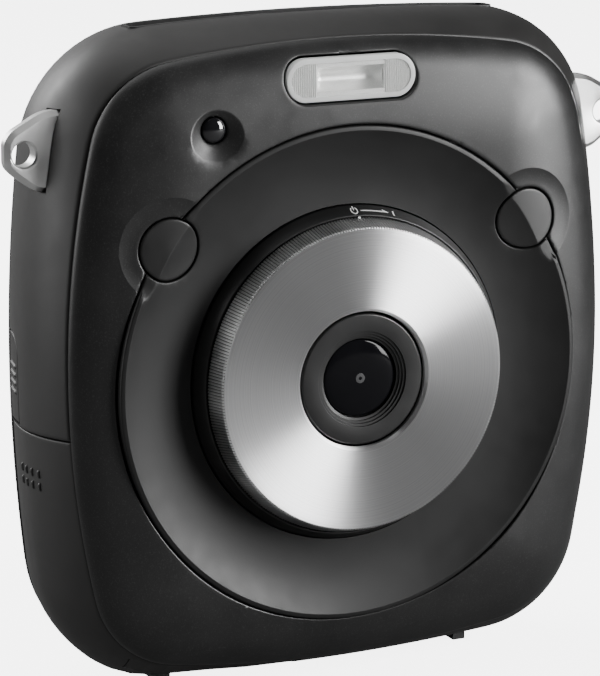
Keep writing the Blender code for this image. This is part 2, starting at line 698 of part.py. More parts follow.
def lens_parts():
    axis_point = (0, 0, LENS_Z)
    face, base = -FACE_Y, -KNURL_BASE_Y
    turned(
        "lens_bezel",
        [
            (28.6 * MM, 14.9 * MM),
            (BEZEL_R - GAP, 14.9 * MM),
            (BEZEL_R - GAP, 16.7 * MM),
            (31.6 * MM, 18.4 * MM),
            (30.9 * MM, 19.3 * MM),
            (30.6 * MM, 19.4 * MM),
            (30.6 * MM, 18.7 * MM),
            (28.6 * MM, 18.7 * MM),
        ],
        axis_point,
        finish="satin_black",
    )
    turned(
        "lens_ring",
        [
            (RING_HOLE_R, face - 1.4 * MM),
            (RING_HOLE_R, face - 0.5 * MM),
            (RING_HOLE_R + 0.4 * MM, face),
            (KNURL_TOP_R, face),
            (KNURL_BASE_R, base),
            (28.3 * MM, base - 0.3 * MM),
            (28.3 * MM, 15.2 * MM),
            (26.8 * MM, 15.2 * MM),
            (26.8 * MM, face - 1.4 * MM),
        ],
        axis_point,
        finish="spun_metal",
    )
    steps_down = []
    for i in range(3):
        r = 9.1 * MM - i * 0.5 * MM
        steps_down += [(r, -NAME_RING_Y - i * 0.35 * MM), (r, -NAME_RING_Y - (i + 1) * 0.35 * MM)]
    turned(
        "name_ring",
        steps_down
        + [
            (GLASS_R, 21.7 * MM),
            (GLASS_R, 20.6 * MM),
            (12.5 * MM, 20.6 * MM),
            (12.5 * MM, 22.7 * MM),
            (12.4 * MM, -NAME_RING_Y),
        ],
        axis_point,
        finish="satin_black",
        steps=36,
    )
    turned(
        "front_glass",
        [
            (0, 20.0 * MM),
            (GLASS_R - GAP, 20.0 * MM),
            (GLASS_R - GAP, 21.3 * MM),
            (4 * MM, 21.7 * MM),
            (0, 21.85 * MM),
        ],
        axis_point,
        finish="glass",
        steps=32,
    )
    turned(
        "lens_tube",
        [
            (11.2 * MM, 8.8 * MM),
            (13.2 * MM, 8.8 * MM),
            (13.2 * MM, 10.2 * MM),
            (12.4 * MM, 10.2 * MM),
            (12.4 * MM, 20.3 * MM),
            (8 * MM, 20.3 * MM),
            (8 * MM, 19.4 * MM),
            (11.2 * MM, 19.4 * MM),
        ],
        axis_point,
        finish="inner_plastic",
        steps=32,
    )
    turned(
        "focus_barrel",
        [
            (5.2 * MM, 11.5 * MM),
            (8.4 * MM, 11.5 * MM),
            (8.4 * MM, 17 * MM),
            (5.2 * MM, 17 * MM),
        ],
        axis_point,
        finish="inner_plastic",
        steps=28,
    )
    turned(
        "focus_lens",
        [
            (0, 12.3 * MM),
            (4.9 * MM, 13 * MM),
            (4.9 * MM, 15.6 * MM),
            (0, 16.6 * MM),
        ],
        axis_point,
        finish="glass",
        steps=24,
    )
    turned(
        "aperture_plate",
        [
            (1.1 * MM, 18.2 * MM),
            (10.9 * MM, 18.2 * MM),
            (10.9 * MM, 18.9 * MM),
            (2.4 * MM, 18.9 * MM),
            (2.2 * MM, 19.6 * MM),
            (1.1 * MM, 19.2 * MM),
        ],
        axis_point,
        finish="inner_plastic",
        steps=28,
    )
    centred_box("image_sensor", (0, -10.1 * MM, LENS_Z), (10 * MM, 1.4 * MM, 8 * MM), "glass")


# ---------------------------------------------------------------- front controls and windows


def shutter_buttons():
    for side, sign in (("left", -1), ("right", 1)):
        turned(
            f"shutter_button_{side}",
            [
                (0, 13.6 * MM),
                (7.2 * MM, 13.6 * MM),
                (7.2 * MM, 14.4 * MM),
                (SHUTTER_R, 14.4 * MM),
                (SHUTTER_R, -SHUTTER_TOP_Y - 0.3 * MM),
                (SHUTTER_R - 0.4 * MM, -SHUTTER_TOP_Y),
                (0, -SHUTTER_TOP_Y),
            ],
            (sign * SHUTTER_X, 0, SHUTTER_Z),
            finish="satin_black",
            steps=28,
        )


def flash_unit():
    width, height = FLASH_SIZE
    front = front_y(inward_distance(0, FLASH_Z))
    clearance = 2 * GAP
    prism(
        "flash_window",
        [rounded_rectangle(width - clearance, height - clearance, (height - clearance) / 2)],
        (0, front + 0.7 * MM, FLASH_Z),
        1.6 * MM,
        finish="clear_plastic",
    )
    back, mouth = -8.4 * MM, front + 1.9 * MM
    trough = centred_box(
        "flash_reflector", (0, (back + mouth) / 2, FLASH_Z), (17 * MM, mouth - back, 6.6 * MM), "chrome"
    )
    hollow = centred_box(
        "flash_hollow", (0, mouth + 2 * MM, FLASH_Z), (15 * MM, 9 * MM, 5 * MM)
    )
    cut(trough, hollow)
    cylinder(
        "flash_tube", 1.2 * MM, (-7 * MM, mouth + 3.4 * MM, FLASH_Z), 14 * MM, "X", "glass", 12
    )
    cylinder(
        "flash_capacitor", 4.2 * MM, (33 * MM, -11.2 * MM, 15 * MM), 25 * MM, "Z", "cell_grey", 20
    )


def assist_lamp():
    lamp_y = front_y(inward_distance(LAMP_X, LAMP_Z))
    turned(
        "assist_lamp_lens",
        [
            (0, -4.4 * MM),
            (3.2 * MM, -4.4 * MM),
            (3.2 * MM, -3.4 * MM),
            (LAMP_R, -3.4 * MM),
            (LAMP_R, -1.3 * MM),
            (1.4 * MM, -0.75 * MM),
            (0, -0.55 * MM),
        ],
        (LAMP_X, lamp_y, LAMP_Z),
        finish="clear_plastic",
        steps=20,
    )


def lug_slots():
    """Where the strap lugs pass through the shell."""
    size = (12 * MM, LUG_DEPTH + 2 * GAP, LUG_HEIGHT + 2 * GAP)
    return [
        centred_box(f"lug_slot_{side}", (sign * 58 * MM, LUG_Y, LUG_Z), size)
        for side, sign in (("left", -1), ("right", 1))
    ]


def strap_lugs():
    """Cast lugs with a hole along Y for the strap, on the upper sides."""
    for side, sign in (("left", -1), ("right", 1)):
        foot_x, tip_x = sign * 52.6 * MM, sign * LUG_TIP_X
        half = LUG_HEIGHT / 2
        shape = [
            (foot_x, LUG_Z - half),
            (foot_x + sign * 5.2 * MM, LUG_Z - half),
            (tip_x - sign * 1.6 * MM, LUG_Z - 3.6 * MM),
            (tip_x, LUG_Z - 2 * MM),
            (tip_x, LUG_Z + 2.4 * MM),
            (tip_x - sign * 1.4 * MM, LUG_Z + 4 * MM),
            (foot_x + sign * 4.2 * MM, LUG_Z + half),
            (foot_x, LUG_Z + half),
        ]
        hole = circle(LUG_HOLE_R, 16, (sign * LUG_HOLE_X, LUG_Z))
        prism(
            f"strap_lug_{side}",
            [shape[::-sign], hole],
            (0, LUG_Y, 0),
            LUG_DEPTH,
            finish="chrome",
        )


# ---------------------------------------------------------------- inside the body


def chassis():
    """The frame that everything is screwed to: a tray for the film pack, open at the back."""
    width, _, height = PACK_SIZE
    wall = 1.6 * MM
    low = (-width / 2 - wall - GAP, PACK_FRONT_Y - GAP - wall, PACK_BOTTOM_Z - GAP - wall)
    high = (width / 2 + wall + GAP, 8.2 * MM, PACK_BOTTOM_Z + height + GAP + wall)
    frame = box("chassis", low, high, "inner_plastic")
    tray = box(
        "pack_tray",
        (low[0] + wall, low[1] + wall, low[2] + wall),
        (high[0] - wall, high[1] + OVERLAP, high[2] - wall),
    )
    path = box(
        "film_path",
        (-SLOT_WIDTH / 2, FILM_Y - 1.6 * MM, high[2] - wall - OVERLAP),
        (SLOT_WIDTH / 2, FILM_Y + 1.6 * MM, high[2] + OVERLAP),
    )
    return cut(frame, tray, path)


def film_pack():
    width, depth, height = PACK_SIZE
    low = (-width / 2, PACK_FRONT_Y, PACK_BOTTOM_Z)
    pack = box(
        "film_pack", low, (width / 2, low[1] + depth, PACK_BOTTOM_Z + height), "inner_plastic"
    )
    window = centred_box("pack_window", (0, low[1], 66 * MM), (63 * MM, 1.6 * MM, 63 * MM))
    return cut(pack, window)


def gear_outline(teeth, module):
    """Straight-sided teeth: tip, flank and root points round the pitch circle."""
    pitch_r = teeth * module / 2
    tip_r, root_r = pitch_r + 0.8 * module, pitch_r - 1.1 * module
    pitch = 2 * math.pi / teeth
    points = []
    for i in range(teeth):
        for share, radius in ((-0.31, root_r), (-0.11, tip_r), (0.11, tip_r), (0.31, root_r)):
            angle = (i + share) * pitch
            points.append((radius * math.cos(angle), radius * math.sin(angle)))
    return points


def rotated(points, angle):
    c, s = math.cos(angle), math.sin(angle)
    return [(x * c - y * s, x * s + y * c) for x, y in points]


def step_from(point, angle, distance):
    return (point[0] + distance * math.cos(angle), point[1] + distance * math.sin(angle))


TRANSFER_AXIS = step_from(DRIVE_AXIS, TRANSFER_DIRECTION, MESH_DISTANCE)
PINION_AXIS = step_from(TRANSFER_AXIS, PINION_DIRECTION, MESH_DISTANCE)


def gear(name, teeth, axis_point, tooth_at, finish):
    """A spur gear across X, with the middle of one tooth at the angle tooth_at."""
    return prism(
        name,
        [rotated(gear_outline(teeth, GEAR_MODULE), tooth_at), circle(GEAR_BORE_R, 10)],
        (GEAR_X, *axis_point),
        GEAR_THICK,
        "X",
        finish,
    )


def film_drive():
    """Two rollers that squeeze the print on its way out, and the gears that turn them."""
    half, shaft_r = 40 * MM, 0.8 * MM
    for name, (y, z) in (("drive_roller", DRIVE_AXIS), ("pinch_roller", PINCH_AXIS)):
        turned(
            name,
            [
                (0, -46 * MM),
                (shaft_r, -46 * MM),
                (shaft_r, -half),
                (ROLLER_R, -half),
                (ROLLER_R, half),
                (shaft_r, half),
                (shaft_r, 48.4 * MM),
                (0, 48.4 * MM),
            ],
            (0, y, z),
            "X",
            "rubber",
            20,
        )
    small_pitch = 2 * math.pi / SMALL_TEETH
    large_pitch = 2 * math.pi / LARGE_TEETH
    drive_tooth = 0.0  # towards the pinch roller
    gear("drive_gear", SMALL_TEETH, DRIVE_AXIS, drive_tooth, "gear_white")
    gear("pinch_gear", SMALL_TEETH, PINCH_AXIS, math.pi + small_pitch / 2, "gear_white")
    # The drive gear's phase along the line to the transfer gear sets that gear's tooth.
    phase = ((TRANSFER_DIRECTION - drive_tooth) / small_pitch) % 1
    transfer_tooth = TRANSFER_DIRECTION + math.pi + (phase + 0.5) * large_pitch
    gear("transfer_gear", LARGE_TEETH, TRANSFER_AXIS, transfer_tooth, "gear_white")
    phase = ((PINION_DIRECTION - transfer_tooth) / large_pitch) % 1
    pinion_tooth = PINION_DIRECTION + math.pi + (phase + 0.5) * small_pitch
    gear("motor_pinion", SMALL_TEETH, PINION_AXIS, pinion_tooth, "brass")
    cylinder("transfer_shaft", 0.65 * MM, (44.3 * MM, *TRANSFER_AXIS), 4.1 * MM, "X", "steel", 12)
    motor = cylinder("eject_motor", 3.8 * MM, (24 * MM, *PINION_AXIS), 20 * MM, "X", "steel", 20)
    shaft = cylinder("motor_shaft", 0.65 * MM, (43 * MM, *PINION_AXIS), 5.4 * MM, "X", sides=12)
    join(motor, shaft)


def roller_plates():
    """Side plates that carry the rollers' shafts, and the transfer gear's at +X."""
    for side, sign in (("left", -1), ("right", 1)):
        holes = [circle(1.05 * MM, 12, axis) for axis in (DRIVE_AXIS, PINCH_AXIS)]
        low_z, high_z = 110.9 * MM, 117.4 * MM
        plate = [(-7 * MM, low_z), (6.5 * MM, low_z), (6.5 * MM, high_z), (-7 * MM, high_z)]
        prism(
            f"roller_plate_{side}",
            [plate, *holes],
            (sign * 43 * MM, 0, 0),
            1.4 * MM,
            "X",
            "steel",
        )


def slot_flap():
    """A light flap that closes the slot from below, and that the print pushes up."""
    rear, middle_z = SLOT_FLAP_PIVOT
    half_width, length, half_thick = 36 * MM, 5 * MM, 0.3 * MM
    box(
        "slot_flap",
        (-half_width, rear - length, middle_z - half_thick),
        (half_width, rear, middle_z + half_thick),
        "inner_plastic",
    )


def picker():
    """The claw that pushes the front print up into the rollers."""
    box("film_claw", (-48.6 * MM, 2 * MM, 30 * MM), (-46.2 * MM, 6 * MM, 78 * MM), "steel")


def electronics():
    prism(
        "main_board",
        [
            [(-42 * MM, 55 * MM), (42 * MM, 55 * MM), (42 * MM, 92 * MM), (-42 * MM, 92 * MM)],
        ],
        (0, -7.6 * MM, 0),
        1.2 * MM,
        finish="board_green",
    )
    width, thick, height = BATTERY_SIZE
    middle = (BATTERY_X, BATTERY_Y, BATTERY_BOTTOM_Z + height / 2)
    centred_box("battery", middle, (width, thick, height), "cell_grey")


def print_head():
    centred_box(
        "exposure_head", (0, -9 * MM, 105 * MM), (40 * MM, 5 * MM, 5 * MM), "inner_plastic"
    )


def tripod_socket():
    turned(
        "tripod_socket",
        [
            (3.15 * MM, 1.2 * MM),
            (6 * MM, 1.2 * MM),
            (6 * MM, 10 * MM),
            (0, 10 * MM),
            (0, 8.2 * MM),
            (3.15 * MM, 8.2 * MM),
        ],
        (TRIPOD_X, TRIPOD_Y, 0),
        "Z",
        "brass",
        24,
    )


# ---------------------------------------------------------------- rear door's parts


def door_parts():
    width, height = SCREEN_SIZE
    prism(
        "screen_glass",
        [rounded_rectangle(width - 2 * GAP, height - 2 * GAP, 2.8 * MM)],
        (0, BACK_Y - 0.6 * MM, SCREEN_Z),
        1.2 * MM,
        finish="glass",
    )
    centred_box(
        "screen_panel", (0, 19.6 * MM, SCREEN_Z), (width - 2 * MM, 2.4 * MM, height - 2 * MM), "steel"
    )
    centred_box(
        "pressure_plate", (0, 16.6 * MM, BODY_Z), (88 * MM, 1.2 * MM, 96 * MM), "inner_plastic"
    )
    dial_front, dial_back = CONTROLS_Y, 20.4 * MM
    turned(
        "control_dial",
        [
            (ARROW_PAD_R + GAP, -dial_front),
            (DIAL_R - 0.5 * MM, -dial_front),
            (DIAL_R, -dial_front + 0.5 * MM),
            (DIAL_R, -dial_back),
            (ARROW_PAD_R + GAP, -dial_back),
        ],
        (0, 0, DIAL_Z),
        finish="satin_black",
        steps=40,
    )
    turned(
        "arrow_pad",
        [
            (OK_R + GAP, -23 * MM),
            (ARROW_PAD_R, -23 * MM),
            (ARROW_PAD_R, -dial_back),
            (OK_R + GAP, -dial_back),
        ],
        (0, 0, DIAL_Z),
        finish="satin_black",
        steps=28,
    )
    turned(
        "ok_button",
        [
            (0, -23.3 * MM),
            (OK_R - 0.4 * MM, -23.3 * MM),
            (OK_R, -22.9 * MM),
            (OK_R, -dial_back),
            (0, -dial_back),
        ],
        (0, 0, DIAL_Z),
        finish="satin_black",
        steps=20,
    )
    for name, (x, z) in key_places().items():
        turned(
            name,
            [
                (0, -23.3 * MM),
                (KEY_R - 0.3 * MM, -23.3 * MM),
                (KEY_R, -23 * MM),
                (KEY_R, -20.4 * MM),
                (0, -20.4 * MM),
            ],
            (x, 0, z),
            finish="satin_black",
            steps=16,
        )


def door_latch():
    """A ridged thumb slider in the back, over a wider plate that keeps it in its slot."""
    width, height = LATCH_SIZE
    slider = centred_box(
        "door_latch", (LATCH_X, 21.7 * MM, LATCH_Z), (width, 3 * MM, height), "satin_black"
    )
    plate = centred_box(
        "latch_plate", (LATCH_X, 20 * MM, LATCH_Z), (width + 2 * MM, 1 * MM, height + 4 * MM)
    )
    join(slider, plate)
    for i in range(4):
        z = LATCH_Z + (i - 1.5) * 2 * MM
        ridge = centred_box(
            f"latch_ridge_{i}", (LATCH_X, 23.2 * MM, z), (width - 1 * MM, 0.4 * MM, 0.7 * MM)
        )
        join(slider, ridge)
    return slider


def usb_socket():
    """The cable socket behind the side flap, open towards -X."""
    shell = box("usb_socket", (-56.2 * MM, 2.8 * MM, 57 * MM), (-50 * MM, 6.4 * MM, 66 * MM), "steel")
    port = box(
        "usb_port", (-58 * MM, 3.4 * MM, 57.6 * MM), (-51 * MM, 5.8 * MM, 65.4 * MM)
    )
    return cut(shell, port)


def build():
    start_scene()
    front_cover()
    dish_ring()
    mid_shell()
    bottom_cover()
    battery_cover()
    feet()
    rear_door()
    hinge_pin()
    lens_parts()
    shutter_buttons()
    flash_unit()
    assist_lamp()
    strap_lugs()
    chassis()
    film_pack()
    film_drive()
    roller_plates()
    slot_flap()
    picker()
    electronics()
    print_head()
    tripod_socket()
    door_parts()
    door_latch()
    side_flap()
    usb_socket()


build()
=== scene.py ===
"""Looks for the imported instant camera: finer casings, lens, controls, materials, light and view.

Helper functions work in millimetres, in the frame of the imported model, and the meshes that
they make are in metres.
"""

import json
import math

import bmesh
import bpy
from mathutils import Matrix, Vector
from mathutils.geometry import delaunay_2d_cdt

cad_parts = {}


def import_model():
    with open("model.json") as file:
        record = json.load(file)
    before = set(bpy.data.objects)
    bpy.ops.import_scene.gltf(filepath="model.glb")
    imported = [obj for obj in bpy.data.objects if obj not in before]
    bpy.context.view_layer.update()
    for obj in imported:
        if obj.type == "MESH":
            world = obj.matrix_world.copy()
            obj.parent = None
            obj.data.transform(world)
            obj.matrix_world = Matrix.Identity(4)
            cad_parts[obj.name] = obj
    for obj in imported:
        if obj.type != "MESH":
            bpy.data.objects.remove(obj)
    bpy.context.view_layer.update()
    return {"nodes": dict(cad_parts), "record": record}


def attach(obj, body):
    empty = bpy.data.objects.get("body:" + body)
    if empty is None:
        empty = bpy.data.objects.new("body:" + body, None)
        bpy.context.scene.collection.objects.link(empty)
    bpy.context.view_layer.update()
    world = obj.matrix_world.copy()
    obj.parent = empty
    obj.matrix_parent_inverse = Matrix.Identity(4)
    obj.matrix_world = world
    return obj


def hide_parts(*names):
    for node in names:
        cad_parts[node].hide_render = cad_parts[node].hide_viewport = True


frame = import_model()

MM = 0.001

# The body's surface, as the CAD has it
HALF_WIDTH, HALF_HEIGHT = 59.5, 63.5
BODY_Z, LENS_Z = 64.4, 61.0
FACE_Y, BACK_Y, WIDEST_Y = -23.5, 22.9, -0.7
FRONT_SEAM_Y, REAR_SEAM_Y, REAR_ROUND_Y = -13.4, 9.0, 13.0
SPLIT_Z, TOP_Z = 52.6, 127.74
FRONT_RATE, REAR_RATE = (0.0264, 0.0235), (0.0145, 0.0107)
REAR_ROUND_INSET = 9.0
SEAM_ARCS, WIDEST_ARCS = (190.0, 227.0, 18.4), (338.0, 638.0, 24.8)
EDGE_ROUND, DOME = (5.85, 1.91), (20.0, 4.13)
WALL, GAP = 1.8, 0.3

DISH_R, RIM_INNER_R, BEZEL_R = 47.3, 46.4, 32.3
RIM_Y, RIM_INNER_Y, DISH_FLOOR_Y, DISH_POWER = -19.1, -19.25, -16.5, 2.2
SHUTTER_X, SHUTTER_Z, SHUTTER_R = 36.9, 87.9, 5.8
SCOOP_R, SCOOP_FLAT_R, SCOOP_DEPTH = 9.8, 6.0, 0.5
FLASH_Z, FLASH_W, FLASH_H = 117.0, 27.2, 8.8
LAMP_X, LAMP_Z, LAMP_R = -27.8, 109.2, 2.3
DIMPLE_R, DIMPLE_DEPTH, DIMPLE_SLOPE_WIDTH = 5.08, 1.2, 3.1

SOCKET_X = 6.0
SLOT_Y, SLOT_W, SLOT_H, SLOT_CORNER_R = 0.2, 75.2, 4.6, 1.2
BATTERY_HOLE = ((-43.2, -12.3, -5), (-7, -2.5, 9))

EDGE_ROWS = (0.0, 0.04, 0.1, 0.19, 0.32)
SOFT_EDGE = 0.32
ROW_CLEARANCE = 0.4

SIDES = (("left", -1), ("right", 1))
LENS_CENTRE, LAMP_CENTRE, FLASH_CENTRE = (0, LENS_Z), (LAMP_X, LAMP_Z), (0, FLASH_Z)
BUTTON_CENTRES = [(sign * SHUTTER_X, SHUTTER_Z) for _, sign in SIDES]


# ---------------------------------------------------------------- surface formulas


def corner_centre(half_w, half_h, arcs):
    side_r, top_r, corner_r = arcs
    side, top = Vector((half_w - side_r, 0)), Vector((0, half_h - top_r))
    reach_side, reach_top = side_r - corner_r, top_r - corner_r
    apart = (top - side).length
    along = (reach_side**2 - reach_top**2 + apart**2) / (2 * apart)
    across = math.sqrt(reach_side**2 - along**2)
    direction = (top - side) / apart
    return side + direction * along + Vector((-direction.y, direction.x)) * across


def section_at(y, shrink=0.0):
    """Half width, half height and arcs of the body at y."""
    rates = FRONT_RATE if y < WIDEST_Y else REAR_RATE
    half_w = HALF_WIDTH - rates[0] * (y - WIDEST_Y) ** 2 - shrink
    half_h = HALF_HEIGHT - rates[1] * (y - WIDEST_Y) ** 2 - shrink
    blend = min(1, max(0, (y - FRONT_SEAM_Y) / (WIDEST_Y - FRONT_SEAM_Y)))
    arcs = [a + (b - a) * blend - shrink for a, b in zip(SEAM_ARCS, WIDEST_ARCS)]
    if y > REAR_ROUND_Y:
        turn = (y - REAR_ROUND_Y) / (BACK_Y - REAR_ROUND_Y)
        inset = REAR_ROUND_INSET * (1 - math.sqrt(max(0, 1 - turn**2)))
        half_w, half_h = half_w - inset, half_h - inset
        arcs = [arc - inset / 2 for arc in arcs]
    return half_w, half_h, arcs


def outline(half_w, half_h, arcs, steps=(18, 14, 22)):
    """Points of the bulged square outline about its middle, counter-clockwise from +X."""
    side_r, top_r, corner_r = arcs
    centre, side_end, corner_end = arc_ends(half_w, half_h, arcs)
    spans = (
        (Vector((half_w - side_r, 0)), side_r, 0, side_end),
        (centre, corner_r, side_end, corner_end),
        (Vector((0, half_h - top_r)), top_r, corner_end, math.pi / 2),
    )
    quarter = []
    for (middle, radius, start, end), count in zip(spans, steps):
        for i in range(count):
            a = start + (end - start) * i / count
            quarter.append((middle.x + radius * math.cos(a), middle.y + radius * math.sin(a)))
    upper = quarter + [(0, half_h)] + [(-x, z) for x, z in reversed(quarter[1:])]
    return upper + [(-half_w, 0)] + [(x, -z) for x, z in reversed(upper[1:])]


def arc_ends(half_w, half_h, arcs):
    """The corner arc's middle, and the angles where it meets the side arc and the top arc."""
    centre = corner_centre(half_w, half_h, arcs)
    side_end = math.atan2(centre.y, centre.x - half_w + arcs[0])
    corner_end = math.atan2(centre.y - half_h + arcs[1], centre.x)
    return centre, side_end, corner_end


SEAM_SECTION = section_at(FRONT_SEAM_Y)
SEAM_CORNER, SEAM_SIDE_END, SEAM_CORNER_END = arc_ends(*SEAM_SECTION)


def inward_distance(x, z):
    """How far a point lies inside the outline at the front seam."""
    half_w, half_h, (side_r, top_r, corner_r) = SEAM_SECTION
    x, z = abs(x), abs(z - BODY_Z)
    dx, dz = x - SEAM_CORNER.x, z - SEAM_CORNER.y
    if SEAM_SIDE_END < math.atan2(dz, dx) < SEAM_CORNER_END:
        return corner_r - math.hypot(dx, dz)
    from_side = side_r - math.hypot(x - half_w + side_r, z)
    from_top = top_r - math.hypot(x, z - half_h + top_r)
    return min(from_side, from_top)


def front_y(inward):
    edge = 1 - min(1, max(0, inward) / EDGE_ROUND[0])
    dome = 1 - min(1, max(0, inward) / DOME[0])
    return FRONT_SEAM_Y - EDGE_ROUND[1] * math.sqrt(1 - edge**2) - DOME[1] * (1 - dome**2)


def dish_y(radius):
    """The dish's section: a flat rim, then a hollow down to the bezel."""
    if radius >= RIM_INNER_R:
        share = (DISH_R - radius) / (DISH_R - RIM_INNER_R)
        return RIM_Y + (RIM_INNER_Y - RIM_Y) * share
    share = min(1, (RIM_INNER_R - radius) / (RIM_INNER_R - BEZEL_R))
    return DISH_FLOOR_Y + (RIM_INNER_Y - DISH_FLOOR_Y) * (1 - share) ** DISH_POWER


def scooped_y(x, z):
    """The front surface, hollowed by the finger scoops round the shutter buttons."""
    climb = max(0, button_reach(x, z) - SCOOP_FLAT_R) / (SCOOP_R - SCOOP_FLAT_R)
    return front_y(inward_distance(x, z)) + SCOOP_DEPTH * max(0, 1 - climb**2)


def fillet(distance, radius=SOFT_EDGE):
    """How far a rounded edge drops at a distance in from that edge."""
    short = 1 - min(1, max(0, distance) / radius)
    return radius * (1 - math.sqrt(1 - short**2))


def circle(radius, steps, centre=(0, 0)):
    turn = 2 * math.pi / steps
    return [
        (centre[0] + radius * math.cos(i * turn), centre[1] + radius * math.sin(i * turn))
        for i in range(steps)
    ]


def rounded_rectangle(width, height, radius, steps=10, centre=(0, 0)):
    points = []
    for quarter, (sx, sy) in enumerate(((1, 1), (-1, 1), (-1, -1), (1, -1))):
        cx, cy = sx * (width / 2 - radius), sy * (height / 2 - radius)
        for i in range(steps + 1):
            angle = (quarter + i / steps) * math.pi / 2
            point = (
                centre[0] + cx + radius * math.cos(angle),
                centre[1] + cy + radius * math.sin(angle),
            )
            if not points or math.dist(points[-1], point) > 1e-6:
                points.append(point)
    if math.dist(points[0], points[-1]) < 1e-6:
        points.pop()
    return points


def block(x, z, width, height):
    """A small rectangle about its middle."""
    left, right, low, high = x - width / 2, x + width / 2, z - height / 2, z + height / 2
    return [(left, low), (right, low), (right, high), (left, high)]


def rectangle_distance(x, z, width, height, radius, centre=(0, 0)):
    """Signed distance outside a rounded rectangle."""
    dx = abs(x - centre[0]) - width / 2 + radius
    dz = abs(z - centre[1]) - height / 2 + radius
    return math.hypot(max(dx, 0), max(dz, 0)) + min(max(dx, dz), 0) - radius


# ---------------------------------------------------------------- mesh tools


def add_piece(name, solid, body, slot, look=None, replaces=(), sharp=40, origin=(0, 0, 0)):
    """A new mesh object from a solid's points in millimetres and its faces, riding on a body.

    Its material is the slot's own, unless look names another.
    """
    vertices, faces = solid
    shift = Vector(origin)
    mesh = bpy.data.meshes.new(name)
    mesh.from_pydata([(Vector(v) - shift) * MM for v in vertices], [], faces)
    mesh.validate()
    work = bmesh.new()
    work.from_mesh(mesh)
    loose = [v for v in work.verts if not v.link_faces]
    bmesh.ops.delete(work, geom=loose, context="VERTS")
    work.to_mesh(mesh)
    work.free()
    obj = bpy.data.objects.new(name, mesh)
    bpy.context.scene.collection.objects.link(obj)
    obj.location = shift * MM
    mesh.materials.append(MATERIALS[look or slot])
    mesh.shade_smooth()
    mesh.set_sharp_from_angle(angle=math.radians(sharp))
    if replaces:
        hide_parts(*replaces)
    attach(obj, body)
    return obj


def grid_points(x_range, z_range, step):
    columns = int((x_range[1] - x_range[0]) / step) + 1
    rows = int((z_range[1] - z_range[0]) / step) + 1
    return [
        (x_range[0] + (i + 0.5 * (j % 2)) * step, z_range[0] + j * step)
        for j in range(rows)
        for i in range(columns)
    ]


def fill_plane(loops, rows, spare, keep, apart=0.35):
    """Triangles over a flat region. Loops become edges, rows become points, spare points fill in.

    keep(x, z) says whether a triangle's middle belongs to the region. Returns points and faces.
    """
    points, edges, taken = [], [], {}

    def cell(p):
        return (round(p[0] / apart), round(p[1] / apart))

    def add(p):
        points.append(Vector(p))
        taken.setdefault(cell(p), []).append(p)
        return len(points) - 1

    for loop in loops:
        ids = [add(p) for p in loop]
        edges += list(zip(ids, ids[1:] + ids[:1]))
    for row in rows:
        for p in row:
            add(p)
    for p in spare:
        cx, cz = cell(p)
        near = any(
            math.dist(p, q) < apart
            for ix in (cx - 1, cx, cx + 1)
            for iz in (cz - 1, cz, cz + 1)
            for q in taken.get((ix, iz), ())
        )
        if not near:
            points.append(Vector(p))
    found, _, triangles, *_ = delaunay_2d_cdt(points, edges, [], 0, 1e-5)
    kept = []
    for face in triangles:
        a, b, c = (found[i] for i in face)
        middle = (a + b + c) / 3
        area = (b - a).cross(c - a)
        if abs(area) > 1e-7 and keep(middle.x, middle.y):
            kept.append(tuple(face) if area > 0 else tuple(reversed(face)))
    used = sorted({i for face in kept for i in face})
    place = {old: new for new, old in enumerate(used)}
    return [found[i] for i in used], [tuple(place[i] for i in face) for face in kept]


def plate(points, faces, lift, back):
    """A closed solid over flat triangles. lift and back give each point's two ends in space."""
    count = len(points)
    vertices = [lift(p.x, p.y) for p in points] + [back(p.x, p.y) for p in points]
    solid = [tuple(face) for face in faces]
    solid += [tuple(count + i for i in reversed(face)) for face in faces]
    sides = {}
    for a, b, c in faces:
        for pair in ((a, b), (b, c), (c, a)):
            sides[pair] = True
    for a, b in sides:
        if (b, a) not in sides:
            solid.append((b, a, count + a, count + b))
    return vertices, solid


def lathe(profile, steps, centre=(0, 0, 0), wobble=None, closed=True):
    """A solid turned about the Y axis through centre. The profile holds (radius, y).

    wobble(row, angle) may add to a row's radius.
    """
    vertices, rows = [], []
    for index, (radius, y) in enumerate(profile):
        if radius < 1e-6:
            rows.append([len(vertices)])
            vertices.append((centre[0], y, centre[2]))
            continue
        ids = []
        for i in range(steps):
            angle = 2 * math.pi * i / steps
            r = radius + (wobble(index, i) if wobble else 0)
            ids.append(len(vertices))
            vertices.append((centre[0] + r * math.cos(angle), y, centre[2] + r * math.sin(angle)))
        rows.append(ids)
    faces = []
    pairs = list(zip(rows, rows[1:]))
    if closed:
        pairs.append((rows[-1], rows[0]))
    for upper, lower in pairs:
        if len(upper) == 1 and len(lower) == 1:
            continue
        for i in range(steps):
            k = (i + 1) % steps
            if len(upper) == 1:
                faces.append((upper[0], lower[k], lower[i]))
            elif len(lower) == 1:
                faces.append((upper[i], upper[k], lower[0]))
            else:
                faces.append((upper[i], upper[k], lower[k], lower[i]))
    return outward(vertices, faces)


def face_out(vertices, faces):
    """Turns all faces round if the closed solid is inside out."""
    total = 0.0
    for face in faces:
        a = Vector(vertices[face[0]])
        for b, c in zip(face[1:], face[2:]):
            total += a.dot(Vector(vertices[b]).cross(Vector(vertices[c])))
    return faces if total > 0 else [tuple(reversed(face)) for face in faces]


def outward(vertices, faces):
    """The closed solid with its faces turned outwards."""
    return vertices, face_out(vertices, faces)


def upright_lathe(profile, steps, x, y):
    """A closed solid turned about an upright axis. The profile holds (radius, z)."""
    vertices, faces = lathe(profile, steps, (x, 0, y))
    return outward([(px, pz, py) for px, py, pz in vertices], faces)


def merged(*parts):
    vertices, faces = [], []
    for more_vertices, more_faces in parts:
        start = len(vertices)
        vertices += more_vertices
        faces += [tuple(start + i for i in face) for face in more_faces]
    return vertices, faces


